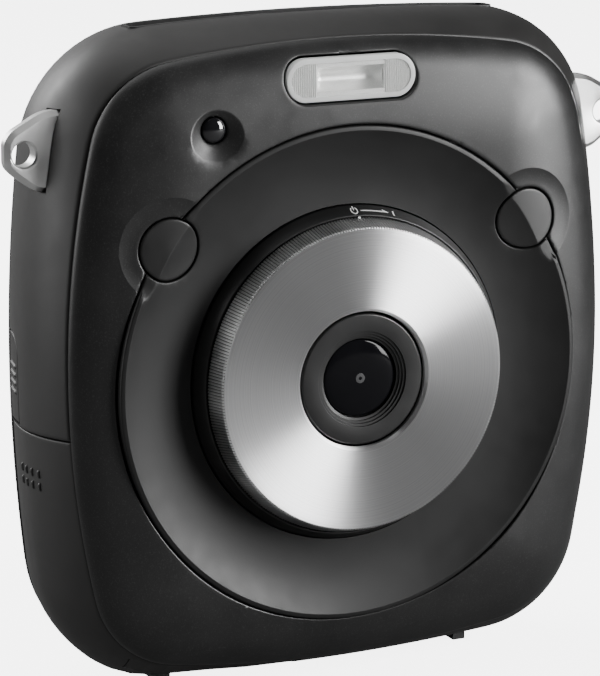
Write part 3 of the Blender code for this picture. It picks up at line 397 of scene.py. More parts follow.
def rounded(profile, radius, segments=4):
    """The closed profile with its corners rounded. radius is one number or one a corner.

    Corners on the axis, where the first coordinate is zero, stay sharp.
    """
    radii = radius if isinstance(radius, (list, tuple)) else [radius] * len(profile)
    out = []
    count = len(profile)
    for i, point in enumerate(profile):
        p, before, after = (Vector(q) for q in (point, profile[i - 1], profile[(i + 1) % count]))
        r = radii[i]
        if r <= 0 or p.x < 1e-6:
            out.append((p.x, p.y))
            continue
        u, v = (before - p).normalized(), (after - p).normalized()
        reach = min(r, 0.45 * (before - p).length, 0.45 * (after - p).length)
        start, end = p + u * reach, p + v * reach
        for k in range(segments + 1):
            t = k / segments
            q = start * (1 - t) ** 2 + p * (2 * t * (1 - t)) + end * t**2
            out.append((q.x, q.y))
    return out


def cut_with(obj, *cutters):
    """Boolean differences, applied at once. The cutters are removed."""
    for cutter in cutters:
        modifier = obj.modifiers.new("cut", "BOOLEAN")
        modifier.operation = "DIFFERENCE"
        modifier.solver = "EXACT"
        modifier.object = cutter
    bpy.context.view_layer.update()
    graph = bpy.context.evaluated_depsgraph_get()
    mesh = bpy.data.meshes.new_from_object(obj.evaluated_get(graph))
    if len(mesh.polygons) < len(obj.data.polygons) / 2:
        raise RuntimeError(f"cutting {obj.name} left {len(mesh.polygons)} faces")
    obj.modifiers.clear()
    old = obj.data
    obj.data = mesh
    bpy.data.meshes.remove(old)
    for cutter in cutters:
        bpy.data.objects.remove(cutter)
    mesh.shade_smooth()
    mesh.set_sharp_from_angle(angle=math.radians(40))
    return obj


def cutter(vertices, faces):
    mesh = bpy.data.meshes.new("cutter")
    mesh.from_pydata([Vector(v) * MM for v in vertices], [], face_out(vertices, faces))
    obj = bpy.data.objects.new("cutter", mesh)
    bpy.context.scene.collection.objects.link(obj)
    return obj


def column(loop, low, high, place_point):
    """A straight column over a flat loop between two depths."""
    count = len(loop)
    vertices = [place_point(u, v, low) for u, v in loop] + [place_point(u, v, high) for u, v in loop]
    faces = [tuple(range(count)), tuple(reversed(range(count, 2 * count)))]
    faces += [(i, i + count, (i + 1) % count + count, (i + 1) % count) for i in range(count)]
    return outward(vertices, faces)


def along_y(u, v, depth):
    return (u, depth, v)


def along_x(u, v, depth):
    return (depth, u, v)


def along_z(u, v, depth):
    return (u, v, depth)


# ---------------------------------------------------------------- materials


class Nodes:
    """Short calls for building a material's node tree."""

    def __init__(self, name):
        self.material = bpy.data.materials.new(name)
        self.material.use_nodes = True
        self.tree = self.material.node_tree
        self.shader = self.tree.nodes["Principled BSDF"]
        self.coords = self.tree.nodes.new("ShaderNodeTexCoord").outputs["Object"]

    def link(self, out, into):
        self.tree.links.new(out, into)

    def noise(self, scale, detail=3.0, roughness=0.5, stretch=None):
        node = self.tree.nodes.new("ShaderNodeTexNoise")
        node.inputs["Scale"].default_value = scale
        node.inputs["Detail"].default_value = detail
        node.inputs["Roughness"].default_value = roughness
        source = self.coords
        if stretch:
            mapping = self.tree.nodes.new("ShaderNodeMapping")
            mapping.inputs["Scale"].default_value = stretch
            self.link(self.coords, mapping.inputs["Vector"])
            source = mapping.outputs["Vector"]
        self.link(source, node.inputs["Vector"])
        return node.outputs["Fac"]


    def remap(self, out, low, high, start=0.3, end=0.7):
        node = self.tree.nodes.new("ShaderNodeMapRange")
        node.inputs["From Min"].default_value = start
        node.inputs["From Max"].default_value = end
        node.inputs["To Min"].default_value = low
        node.inputs["To Max"].default_value = high
        self.link(out, node.inputs["Value"])
        return node.outputs["Result"]

    def blend(self, fac, first, second):
        node = self.tree.nodes.new("ShaderNodeMix")
        node.data_type = "RGBA"
        for socket, value in ((6, first), (7, second)):
            if isinstance(value, tuple):
                node.inputs[socket].default_value = (*value, 1)
            else:
                self.link(value, node.inputs[socket])
        self.link(fac, node.inputs[0])
        return node.outputs[2]

    def add(self, first, second, operation="ADD"):
        node = self.tree.nodes.new("ShaderNodeMath")
        node.operation = operation
        for socket, value in enumerate((first, second)):
            if isinstance(value, (int, float)):
                node.inputs[socket].default_value = value
            else:
                self.link(value, node.inputs[socket])
        return node.outputs[0]

    def edges(self, amount=0.12):
        """Where the surface is convex, for wear along edges."""
        node = self.tree.nodes.new("ShaderNodeNewGeometry")
        return self.remap(node.outputs["Pointiness"], 0, amount, 0.52, 0.6)

    def bump(self, height, strength, distance):
        node = self.tree.nodes.new("ShaderNodeBump")
        node.inputs["Strength"].default_value = strength
        node.inputs["Distance"].default_value = distance
        self.link(height, node.inputs["Height"])
        self.link(node.outputs["Normal"], self.shader.inputs["Normal"])

    def set(self, **values):
        for name, value in values.items():
            socket = self.shader.inputs[name.replace("_", " ")]
            if isinstance(value, tuple):
                socket.default_value = (*value, 1)
            elif isinstance(value, (int, float)):
                socket.default_value = value
            else:
                self.link(value, socket)
        return self


def moulded(name, dark, light, roughness, grain=2600.0, grain_depth=0.03, speckle=0.0, specular=0.5):
    """Moulded or painted plastic: fine grain, slow colour drift, and rubbed edges."""
    n = Nodes(name)
    fine, slow = n.noise(grain, 2.0), n.noise(55.0, 4.0)
    colour = n.blend(n.remap(slow, 0, 1), dark, light)
    if speckle:
        flakes = n.remap(n.noise(grain * 1.3, 1.0), 0, speckle, 0.56, 0.75)
        colour = n.blend(flakes, colour, tuple(min(1, c * 6) for c in light))
    colour = n.blend(n.edges(), colour, tuple(min(1, c * 2.6 + 0.02) for c in light))
    rough = n.add(
        n.remap(slow, roughness - 0.04, roughness + 0.05),
        n.remap(n.noise(330.0, 5.0), -0.03, 0.03),
    )
    n.set(Base_Color=colour, Roughness=rough, Specular_IOR_Level=specular)
    n.bump(fine, 0.35, grain_depth * MM)
    return n.material


def metal(name, dark, light, roughness, grain, depth, scratch=(1, 1, 1)):
    """Cast, plated or stamped metal with faint smudges and fine scratches."""
    n = Nodes(name)
    slow, fine = n.noise(120.0, 4.0), n.noise(grain, 3.0, 0.6, scratch)
    n.set(
        Base_Color=n.blend(n.remap(slow, 0, 1), dark, light),
        Roughness=n.add(n.remap(slow, roughness * 0.8, roughness * 1.25), n.remap(fine, -0.02, 0.03)),
        Metallic=1.0,
    )
    n.bump(fine, 0.25, depth * MM)
    return n.material


def glossy(name, dark, light, roughness, coat=1.0, specular=0.5):
    """Glass or polished plastic over something dark, with faint smears."""
    n = Nodes(name)
    smear = n.noise(90.0, 5.0, 0.6)
    n.set(
        Base_Color=n.blend(n.remap(smear, 0, 1), dark, light),
        Roughness=n.remap(smear, roughness, roughness * 1.8 + 0.01),
        Coat_Weight=coat,
        Coat_Roughness=0.03,
        Specular_IOR_Level=specular,
    )
    n.bump(n.noise(40.0, 2.0), 0.05, 0.02 * MM)
    return n.material


def spun_face():
    """The lens ring's face: fine rings round the lens axis, which fan the light."""
    n = Nodes("spun_metal")
    split = n.tree.nodes.new("ShaderNodeSeparateXYZ")
    n.link(n.coords, split.inputs[0])
    radius = n.add(
        n.add(n.add(split.outputs[0], 2, "POWER"), n.add(split.outputs[2], 2, "POWER")), 0.5, "POWER"
    )
    rings = n.tree.nodes.new("ShaderNodeTexNoise")
    rings.noise_dimensions = "1D"
    rings.inputs["Scale"].default_value = 5200.0
    rings.inputs["Detail"].default_value = 4.0
    n.link(radius, rings.inputs["W"])
    tangent = n.tree.nodes.new("ShaderNodeTangent")
    tangent.direction_type = "RADIAL"
    tangent.axis = "Y"
    n.link(tangent.outputs[0], n.shader.inputs["Tangent"])
    fine = n.noise(1800.0, 3.0)
    lines = rings.outputs["Fac"]
    n.set(
        Base_Color=n.blend(n.remap(lines, 0, 1), (0.78, 0.78, 0.79), (0.92, 0.92, 0.925)),
        Roughness=n.add(n.remap(fine, 0.38, 0.42), n.remap(lines, -0.04, 0.04)),
        Metallic=1.0,
        Anisotropic=1.0,
        Anisotropic_Rotation=0.25,
    )
    n.bump(lines, 0.10, 0.006 * MM)
    return n.material


def clear(name, tint, roughness):
    """Clear moulded plastic or glass with light passing through."""
    n = Nodes(name)
    haze = n.noise(300.0, 3.0)
    n.set(
        Base_Color=n.blend(n.remap(haze, 0, 1), tint, tuple(min(1, c * 1.05) for c in tint)),
        Roughness=n.remap(haze, roughness, roughness * 1.6),
        Transmission_Weight=0.92,
        IOR=1.49,
    )
    n.bump(haze, 0.04, 0.01 * MM)
    return n.material


def pane():
    """A thin clear cover. It lets the light of lamps straight through, and shines a little."""
    n = Nodes("clear_pane")
    haze = n.noise(300.0, 3.0)
    n.set(
        Base_Color=n.blend(n.remap(haze, 0, 1), (0.8, 0.82, 0.8), (0.86, 0.88, 0.86)),
        Roughness=n.remap(haze, 0.04, 0.08),
        Alpha=n.remap(haze, 0.10, 0.14),
    )
    n.bump(haze, 0.04, 0.01 * MM)
    return n.material


def make_materials():
    """One material for each look, by name. Colours go from the darkest to the lightest."""
    plastics = {
        # look: name, colours, roughness, grain, grain depth in millimetres
        "body_black": ("body_black", (0.016, 0.0157, 0.0155), (0.021, 0.0205, 0.020), 0.46, 2400.0, 0.03),
        "satin_black": ("satin_black", (0.009, 0.009, 0.009), (0.013, 0.013, 0.013), 0.42, 2600.0, 0.015),
        "bezel": ("bezel_black", (0.010, 0.010, 0.0102), (0.014, 0.014, 0.014), 0.33, 2600.0, 0.01),
        "inner_plastic": ("inner_plastic", (0.018, 0.018, 0.02), (0.03, 0.03, 0.032), 0.55, 1400.0, 0.04),
        "frosted": ("frosted_plastic", (0.60, 0.61, 0.60), (0.70, 0.71, 0.70), 0.3, 1200.0, 0.01),
        "ridged": ("ridged_plastic", (0.72, 0.72, 0.71), (0.8, 0.8, 0.79), 0.25, 1200.0, 0.005),
        "rubber": ("rubber", (0.012, 0.012, 0.012), (0.022, 0.022, 0.022), 0.75, 1100.0, 0.08),
        "board_green": ("board_green", (0.012, 0.09, 0.04), (0.02, 0.14, 0.06), 0.4, 900.0, 0.02),
        "cell_grey": ("cell_grey", (0.18, 0.19, 0.21), (0.26, 0.27, 0.29), 0.45, 800.0, 0.02),
        "gear_white": ("gear_white", (0.62, 0.60, 0.53), (0.74, 0.72, 0.66), 0.42, 1200.0, 0.02),
        "mark_white": ("mark_white", (0.72, 0.72, 0.71), (0.82, 0.82, 0.81), 0.5, 2000.0, 0.005),
        "mark_grey": ("mark_grey", (0.30, 0.30, 0.30), (0.36, 0.36, 0.36), 0.5, 2000.0, 0.005),
    }
    metals = {
        # look: name, colours, roughness, grain, grain depth in millimetres, stretch of the scratches
        "knurl": ("knurl_metal", (0.74, 0.74, 0.74), (0.82, 0.82, 0.82), 0.36, 500.0, 0.002),
        # groove: dark metal on the knurl's groove bottoms, which paints shade into the grooves
        "groove": ("groove_painted_shade", (0.05, 0.05, 0.05), (0.09, 0.09, 0.09), 0.5, 500.0, 0.002),
        "lug_metal": ("lug_metal", (0.78, 0.78, 0.775), (0.86, 0.86, 0.855), 0.34, 700.0, 0.012),
        "chrome": ("chrome", (0.62, 0.62, 0.62), (0.74, 0.74, 0.735), 0.13, 700.0, 0.015),
        "reflector": ("reflector", (0.86, 0.86, 0.85), (0.93, 0.93, 0.92), 0.42, 700.0, 0.01),
        "steel": ("steel", (0.42, 0.42, 0.43), (0.56, 0.56, 0.57), 0.3, 500.0, 0.02, (1, 1, 14)),
        "brass": ("brass", (0.55, 0.38, 0.14), (0.68, 0.50, 0.22), 0.28, 600.0, 0.02, (1, 1, 8)),
    }
    made = {look: moulded(*values) for look, values in plastics.items()}
    made.update({look: metal(*values) for look, values in metals.items()})
    paint = ((0.010, 0.010, 0.0102), (0.014, 0.014, 0.014))
    made["cover"] = moulded("cover_paint", *paint, 0.37, 3000.0, 0.02, 0.25)
    dish_black = ((0.009, 0.009, 0.009), (0.012, 0.012, 0.012))
    made["dish_black"] = moulded("dish_black", *dish_black, 0.46, 2600.0, 0.015, specular=0.33)
    made["glass"] = glossy("dark_glass", (0.006, 0.006, 0.007), (0.009, 0.009, 0.011), 0.03)
    coated = ((0.004, 0.004, 0.005), (0.006, 0.006, 0.007))
    made["lens_coated"] = glossy("coated_glass", *coated, 0.05, coat=0.0, specular=0.12)
    made["clear_plastic"] = clear("clear_plastic", (0.9, 0.92, 0.9), 0.05)
    made["pane"] = pane()
    made["spun_metal"] = spun_face()
    return made


MATERIALS = make_materials()


def finish_cad_nodes():
    """Every CAD node that stays visible gets its slot's material."""
    for row in frame["record"]["subparts"]:
        node = frame["nodes"][row["node"]]
        material = MATERIALS[row["material_slot"]]
        if node.data.materials:
            for index in range(len(node.data.materials)):
                node.data.materials[index] = material
        else:
            node.data.materials.append(material)


# ---------------------------------------------------------------- casings


def button_reach(x, z):
    return math.hypot(abs(x) - SHUTTER_X, z - SHUTTER_Z)


def lens_reach(x, z):
    return math.hypot(x, z - LENS_Z)


def lamp_reach(x, z):
    return math.hypot(x - LAMP_X, z - LAMP_Z)


def flash_size(inset):
    """Width, height and corner radius of the flash window, drawn in by inset."""
    return FLASH_W - 2 * inset, FLASH_H - 2 * inset, FLASH_H / 2 - inset


def front_cover():
    hole_r, dish_hole_r, lamp_hole_r = SHUTTER_R + GAP, DISH_R + GAP, LAMP_R + GAP
    lamp_y = front_y(inward_distance(LAMP_X, LAMP_Z))

    def shrunk(inward):
        half_w, half_h, arcs = SEAM_SECTION
        arcs = [arc - inward for arc in arcs]
        return [(x, BODY_Z + z) for x, z in outline(half_w - inward, half_h - inward, arcs)]

    def surface(x, z):
        y = scooped_y(x, z)
        reach = lamp_reach(x, z)
        if reach < DIMPLE_R + 1:
            slope = (DIMPLE_DEPTH + GAP) / DIMPLE_SLOPE_WIDTH
            y = max(y, lamp_y + DIMPLE_DEPTH - (reach - lamp_hole_r) * slope)
        return y

    def edges(x, z):
        """Distances from the dish hole, the shutter holes, the flash window and the lamp."""
        return (
            lens_reach(x, z) - dish_hole_r,
            button_reach(x, z) - hole_r,
            rectangle_distance(x, z, FLASH_W, FLASH_H, FLASH_H / 2, FLASH_CENTRE),
            lamp_reach(x, z) - lamp_hole_r,
        )

    def keep(x, z):
        return inward_distance(x, z) > 0 and min(edges(x, z)) > 0

    def clear_of_others(row, own=None):
        """The row's points that lie well away from every edge but the row's own."""
        return [
            p
            for p in row
            if keep(*p) and min(d for i, d in enumerate(edges(*p)) if i != own) > ROW_CLEARANCE
        ]


    def flash_loop(d):
        return refined(rounded_rectangle(*flash_size(-d), 16, FLASH_CENTRE), 1.2)

    loops = [
        shrunk(0),
        circle(dish_hole_r, 360, LENS_CENTRE),
        flash_loop(0),
        circle(lamp_hole_r, 60, LAMP_CENTRE),
        *(circle(hole_r, 96, centre) for centre in BUTTON_CENTRES),
    ]
    inward_rows = (0.008, 0.03, 0.08, 0.16, 0.3, 0.5, 0.8, 1.2, 1.7, 2.3, 3.0, 3.8, 4.7, 5.7, 6.8)
    rows = [clear_of_others(shrunk(inward)) for inward in inward_rows]
    for d in EDGE_ROWS[1:] + (0.75,):
        rows.append(clear_of_others(circle(dish_hole_r + d, 360, LENS_CENTRE), 0))
        rows += [clear_of_others(circle(hole_r + d, 96, centre), 1) for centre in BUTTON_CENTRES]
        rows.append(clear_of_others(flash_loop(d), 2))
        rows.append(clear_of_others(circle(lamp_hole_r + d, 60, LAMP_CENTRE), 3))
    rows.append(clear_of_others(flash_loop(1.4), 2))
    for i in range(12):
        rows.append(clear_of_others(circle(3.5 + 0.2 * i, 60, LAMP_CENTRE), 3))
    for radius in (7.2, 7.7, 8.2, 8.7, 9.15, 9.5, 9.72, 9.8, 9.88, 10.1, 10.5):
        rows += [clear_of_others(circle(radius, 96, centre), 1) for centre in BUTTON_CENTRES]
    spare = [
        p for p in grid_points((-58, 58), (1, 128), 1.6) if keep(*p) and inward_distance(*p) > 7.2
    ]
    points, faces = fill_plane(loops, rows, spare, keep)

    def lift(x, z):
        return (x, surface(x, z) + fillet(min(edges(x, z))), z)

    def back(x, z):
        return (x, min(surface(x, z) + WALL, FRONT_SEAM_Y + 0.01), z)

    add_piece(
        "cover_front", plate(points, faces, lift, back), "camera", "body_black", "cover",
        replaces=["front_cover"]
    )


def dish_surface(x, z):
    """The dish with the scoops running over its rim. Away from a button its own section counts."""
    y = dish_y(lens_reach(x, z))
    return max(y, scooped_y(x, z)) if button_reach(x, z) < SCOOP_R else y


def dish():
    hole_r = SHUTTER_R + GAP

    def edge(x, z):
        return min(DISH_R - lens_reach(x, z), button_reach(x, z) - hole_r)

    def keep(x, z):
        return BEZEL_R < lens_reach(x, z) < DISH_R and button_reach(x, z) > hole_r

    loops = [circle(DISH_R, 360, LENS_CENTRE), circle(BEZEL_R, 360, LENS_CENTRE)]
    loops += [circle(hole_r, 96, centre) for centre in BUTTON_CENTRES]
    radii = [DISH_R - d for d in EDGE_ROWS[1:]]
    radii += [46.65, 46.5, 46.4, 46.3, 46.15, 45.9, 45.6, 45.3, 45.0, 44.4, 43.6, 42.6, 41.4, 40.1]
    radii += [38.7, 37.2, 35.7, 34.4, 33.4, 32.7]
    rows = [
        [p for p in circle(r, 360, LENS_CENTRE) if button_reach(*p) > hole_r + ROW_CLEARANCE]
        for r in radii
    ]
    for centre in BUTTON_CENTRES:
        for d in EDGE_ROWS[1:]:
            row = circle(hole_r + d, 96, centre)
            rows.append([p for p in row if keep(*p) and lens_reach(*p) < DISH_R - ROW_CLEARANCE])
    points, faces = fill_plane(loops, rows, [], keep)

    def lift(x, z):
        return (x, dish_surface(x, z) + fillet(edge(x, z)), z)

    def back(x, z):
        return (x, dish_y(lens_reach(x, z)) + 1.9, z)

    add_piece(
        "dish", plate(points, faces, lift, back), "camera", "satin_black", "dish_black",
        replaces=["dish_ring"]
    )


def shutter_button(side, sign):
    """A button's cap. Its top carries on the surface round it."""
    centre = (sign * SHUTTER_X, SHUTTER_Z)

    def keep(x, z):
        return math.dist((x, z), centre) < SHUTTER_R

    rows = [circle(SHUTTER_R - d, 96, centre) for d in EDGE_ROWS[1:]]
    span_x = (centre[0] - SHUTTER_R, centre[0] + SHUTTER_R)
    span_z = (centre[1] - SHUTTER_R, centre[1] + SHUTTER_R)
    spare = [
        p for p in grid_points(span_x, span_z, 0.16) if math.dist(p, centre) < SHUTTER_R - 0.5
    ]
    points, faces = fill_plane([circle(SHUTTER_R, 96, centre)], rows, spare, keep, 0.12)

    def lift(x, z):
        return (x, dish_surface(x, z) + fillet(SHUTTER_R - button_reach(x, z)), z)

    def back(x, z):
        return (x, -14.0, z)

    add_piece(
        f"shutter_{side}_cap", plate(points, faces, lift, back), f"shutter_{side}", "satin_black",
        replaces=[f"shutter_button_{side}"]
    )


def half_run(section, start, drop):
    """The outline from a height on the right side, over the top, to that height on the left.

    drop(distance) gives how far a point near the two ends moves in.
    """
    half_w, half_h, arcs = section
    side_r, top_r, corner_r = arcs
    centre, side_end, corner_end = arc_ends(half_w, half_h, arcs)
    quarter = []
    for d in EDGE_ROWS:
        angle, r = math.asin((start + d) / side_r), side_r - drop(d)
        quarter.append((half_w - side_r + r * math.cos(angle), start + d))
    begin = math.asin((start + 0.8) / side_r)
    spans = (
        (half_w - side_r, 0, side_r, begin, side_end, 16),
        (centre.x, centre.y, corner_r, side_end, corner_end, 18),
        (0, half_h - top_r, top_r, corner_end, math.pi / 2, 22),
    )
    for cx, cz, radius, first, last, count in spans:
        for i in range(count):
            a = first + (last - first) * i / count
            quarter.append((cx + radius * math.cos(a), cz + radius * math.sin(a)))
    return quarter + [(0, half_h)] + [(-x, z) for x, z in reversed(quarter)]


def band(low_y, high_y, shrink, upper):
    """A closed half band of the middle casing, above or below the split, with rounded edges."""
    depth = high_y - low_y
    steps = 14
    ys = [low_y + d for d in EDGE_ROWS]
    ys += [low_y + 0.6 + (depth - 1.2) * i / steps for i in range(steps + 1)]
    ys += [high_y - d for d in reversed(EDGE_ROWS)]
    sign = 1 if upper else -1
    start = sign * (SPLIT_Z - BODY_Z) + GAP / 2
    outer, inner = [], []
    for y in ys:
        inset = fillet(min(y - low_y, high_y - y))
        run = half_run(section_at(y, shrink + inset), start, fillet)
        outer.append([(x, y, min(TOP_Z, BODY_Z + sign * z)) for x, z in run])
        run = half_run(section_at(y, shrink + WALL), start, lambda d: 0.0)
        inner.append([(x, y, BODY_Z + sign * z) for x, z in run])
    return strip_solid(outer, inner)


def strip_solid(outer, inner):
    """A closed solid between two grids of points with the same layout."""
    rows, columns = len(outer), len(outer[0])
    vertices = [p for row in outer for p in row] + [p for row in inner for p in row]
    faces = []

    def at(i, j, layer):
        return (layer * rows + i) * columns + j

    for i in range(rows - 1):
        for j in range(columns - 1):
            faces.append((at(i, j, 0), at(i + 1, j, 0), at(i + 1, j + 1, 0), at(i, j + 1, 0)))
            faces.append((at(i, j + 1, 1), at(i + 1, j + 1, 1), at(i + 1, j, 1), at(i, j, 1)))
    last = rows - 1
    for j in range(columns - 1):
        k = j + 1
        faces.append((at(0, j, 0), at(0, k, 0), at(0, k, 1), at(0, j, 1)))
        faces.append((at(last, k, 0), at(last, j, 0), at(last, j, 1), at(last, k, 1)))
    last = columns - 1
    for i in range(rows - 1):
        k = i + 1
        faces.append((at(k, 0, 0), at(i, 0, 0), at(i, 0, 1), at(k, 0, 1)))
        faces.append((at(i, last, 0), at(k, last, 0), at(k, last, 1), at(i, last, 1)))
    return outward(vertices, faces)


FLAP_Y, FLAP_Z, FLAP_CORNER_R = (1.2, 7.6), (53.1, 70.3), 4.5


def flap_loop(inset, steps=12):
    """The socket flap's outline as (y, z), with its top front corner round."""
    front, rear = FLAP_Y[0] + inset, FLAP_Y[1] - inset
    low, high = FLAP_Z[0] + inset, FLAP_Z[1] - inset
    r = FLAP_CORNER_R - inset
    loop = [(front, low), (rear, low), (rear, high)]
    for i in range(steps + 1):
        angle = math.pi / 2 * (1 + i / steps)
        loop.append((front + r + r * math.cos(angle), high - r + r * math.sin(angle)))
    return loop


def loop_distance(point, loop):
    """Distance from a point to a closed loop."""
    best = 1e9
    for a, b in zip(loop, loop[1:] + loop[:1]):
        ax, ay, bx, by = *a, *b
        dx, dy = bx - ax, by - ay
        t = ((point[0] - ax) * dx + (point[1] - ay) * dy) / max(1e-12, dx * dx + dy * dy)
        t = min(1, max(0, t))
        best = min(best, math.hypot(point[0] - ax - t * dx, point[1] - ay - t * dy))
    return best


def counter_clockwise(loop):
    doubled_area = sum(a[0] * b[1] - a[1] * b[0] for a, b in zip(loop, loop[1:] + loop[:1]))
    return loop[::-1] if doubled_area < 0 else loop


def inside_loop(point, loop):
    """Whether a point lies inside a closed loop, by counting the edges to its right."""
    x, y = point
    inside = False
    for (ax, ay), (bx, by) in zip(loop, loop[1:] + loop[:1]):
        if (ay > y) != (by > y) and x < ax + (y - ay) / (by - ay) * (bx - ax):
            inside = not inside
    return inside


def refined(loop, step):
    """The loop with more points along its longer edges."""
    out = []
    for a, b in zip(loop, loop[1:] + loop[:1]):
        count = max(1, int(math.dist(a, b) / step))
        out += [
            (a[0] + (b[0] - a[0]) * i / count, a[1] + (b[1] - a[1]) * i / count)
            for i in range(count)
        ]
    return out


def drawn_in(loop, inset):
    """The loop moved inwards by inset. It runs counter-clockwise and has fine steps."""
    out = []
    for i, p in enumerate(loop):
        before, after = Vector(loop[i - 1]), Vector(loop[(i + 1) % len(loop)])
        u = (Vector(p) - before).normalized()
        v = (after - Vector(p)).normalized()
        inward = Vector((-u.y - v.y, u.x + v.x))
        inward = inward.normalized() * min(2.0, 2 / max(0.2, inward.length))
        out.append((p[0] + inward.x * inset, p[1] + inward.y * inset))
    return out


def side_wall_x(y, z, shrink=0.0):
    """Half width of the body at a height on its side arc."""
    half_w, _, arcs = section_at(y, shrink)
    return half_w - arcs[0] + math.sqrt(arcs[0] ** 2 - (z - BODY_Z) ** 2)


FLAP_RIDGES = [(4.3, 59.2 + 1.63 * i) for i in range(4)]  # y, z of each ridge's middle
RIDGE_HALF_WIDTH, RIDGE_HEIGHT = 0.42, 0.34


def flap_rise(y, z):
    """The four slanted thumb ridges on the flap."""
    rise = 0.0
    for middle_y, middle_z in FLAP_RIDGES:
        along, across = y - middle_y, z - middle_z - 0.12 * (y - middle_y)
        reach = math.hypot(max(0, abs(along) - 1.5), across)
        if reach < RIDGE_HALF_WIDTH:
            rise = max(rise, RIDGE_HEIGHT * (1 - (reach / RIDGE_HALF_WIDTH) ** 2))
    return rise


def side_flap():
    loop = counter_clockwise(refined(flap_loop(GAP), 0.5))
    rows = [drawn_in(loop, d) for d in EDGE_ROWS[1:]]
    spare = [
        p
        for p in grid_points((1.5, 7.4), (53.4, 70.0), 0.17)
        if inside_loop(p, loop) and loop_distance(p, loop) > 0.45
        and (abs(p[1] - 61.6) < 3.2 or int(p[1] * 10) % 4 == 0)
    ]

    def keep(y, z):
        return inside_loop((y, z), loop)

    rows = [[p for p in row if inside_loop(p, loop)] for row in rows]
    points, faces = fill_plane([loop], rows, spare, keep, 0.1)

    def lift(y, z):
        rise = flap_rise(y, z) - fillet(loop_distance((y, z), loop))
        return (-side_wall_x(y, z) - rise, y, z)

    def back(y, z):
        return (-side_wall_x(y, z) + WALL, y, z)

    add_piece(
        "socket_flap", outward(*plate(points, faces, lift, back)), "side_flap", "body_black",
        replaces=["side_flap"], sharp=60
    )


def box_mesh(low, high):
    (x0, y0, z0), (x1, y1, z1) = low, high
    loop = [(x0, y0), (x1, y0), (x1, y1), (x0, y1)]
    return column(loop, z0, z1, along_z)


HINGE_X, HINGE_Y, HINGE_Z = 57.9, 9.0, 80.0
KNUCKLE_R, KNUCKLE_BORE_R, KNUCKLE_LENGTH, KNUCKLE_PITCH = 1.6, 0.85, 7.7, 8
HINGE_ROOM_R = 1.9


def hinge_cutter():
    """Room for the hinge's knuckles in both shells."""
    return cutter(*column(circle(HINGE_ROOM_R, 32, (HINGE_X, HINGE_Y)), 67.0, 93.0, along_z))


def knuckle(index, reach):
    """One hinge knuckle: a barrel round the pin, and a tongue into its shell."""
    low = HINGE_Z + (index - 1.5) * KNUCKLE_PITCH + 0.15
    high = low + KNUCKLE_LENGTH
    corners = [(KNUCKLE_R, low), (KNUCKLE_R, high), (KNUCKLE_BORE_R, high), (KNUCKLE_BORE_R, low)]
    barrel = upright_lathe(rounded(corners, 0.2, 3), 36, HINGE_X, HINGE_Y)
    tongue = box_mesh((54.4, HINGE_Y + min(reach), low), (56.6, HINGE_Y + max(reach), high))
    return merged(barrel, tongue)


def mid_casing():
    vertices, faces = band(FRONT_SEAM_Y + GAP, REAR_SEAM_Y - GAP / 2, 0.0, True)
    knuckles = merged(knuckle(0, (-3.4, -0.75)), knuckle(2, (-3.4, -0.75)))
    obj = add_piece("casing_upper", (vertices, faces), "camera", "body_black", replaces=["mid_shell"])
    slot = rounded_rectangle(SLOT_W, SLOT_H, SLOT_CORNER_R, 6, (0, SLOT_Y))
    cut_with(
        obj,
        cutter(*column(slot, 120.0, 135.0, along_z)),
        cutter(*column(flap_loop(0), -70.0, -50.0, along_x)),
        hinge_cutter(),
        *(lug_cutter(sign) for _, sign in SIDES),
    )
    add_piece("casing_knuckles", knuckles, "camera", "body_black", sharp=30)


def slot_lip():
    """A thin raised lip round the print slot."""
    rim, hole = (75.8, 5.2, 1.5), (75.0, 4.4, 1.1)

    def keep(x, y):
        within_rim = rectangle_distance(x, y, *rim, (0, SLOT_Y)) < 0
        return within_rim and rectangle_distance(x, y, *hole, (0, SLOT_Y)) > 0

    loops = [refined(rounded_rectangle(*size, 10, (0, SLOT_Y)), 2.0) for size in (rim, hole)]
    points, faces = fill_plane(loops, [], [], keep, 0.05)

    def height(x, y):
        _, half_h, arcs = section_at(y)
        return BODY_Z + half_h - arcs[1] + math.sqrt(arcs[1] ** 2 - x**2)

    def lift(x, y):
        return (x, y, min(TOP_Z, height(x, y) + 0.06))

    def back(x, y):
        return (x, y, height(x, y) - WALL - 0.4)

    add_piece("slot_lip", outward(*plate(points, faces, lift, back)), "camera", "satin_black")


def grip_ridge(middle_y, middle_z):
    """A short curved ridge: thin rings along it, closed at both ends."""
    rings, steps = 9, 10
    vertices = []
    for ring in range(rings):
        t = ring / (rings - 1) - 0.5
        z = middle_z + 1.7 * t
        y = middle_y + 0.3 * (1 - 4 * t * t)
        thin = math.sqrt(max(0.0, 1 - (2 * t) ** 4)) * 0.42 + 0.01
        x = -side_wall_x(y, z, 0.3)
        for s in range(steps):
            a = 2 * math.pi * s / steps
            vertices.append((x - thin * 0.8 * math.cos(a), y + thin * math.sin(a), z))
    end = (rings - 1) * steps
    faces = [tuple(range(steps)), tuple(reversed(range(end, end + steps)))]
    for low in range(0, end, steps):
        high = low + steps
        for s in range(steps):
            k = (s + 1) % steps
            faces.append((low + s, low + k, high + k, high + s))
    return outward(vertices, faces)


def grip_ridges():
    """Two rows of four ridges on the lower casing's left side, for the thumb."""
    places = [(-5.2 + 2.3 * i, 45.0 - 2.45 * row) for row in range(2) for i in range(4)]
    return merged(*(grip_ridge(*place) for place in places))


def bottom_casing():
    obj = add_piece(
        "casing_lower", band(FRONT_SEAM_Y + GAP, REAR_SEAM_Y - GAP / 2, 0.3, False), "camera",
        "body_black", replaces=["bottom_cover"]
    )
    cut_with(
        obj,
        cutter(*column(circle(6.5, 48, (SOCKET_X, WIDEST_Y)), -5.0, 7.0, along_z)),
        cutter(*box_mesh(*BATTERY_HOLE)),
    )
    add_piece("grip_ridges", grip_ridges(), "camera", "body_black", sharp=60)


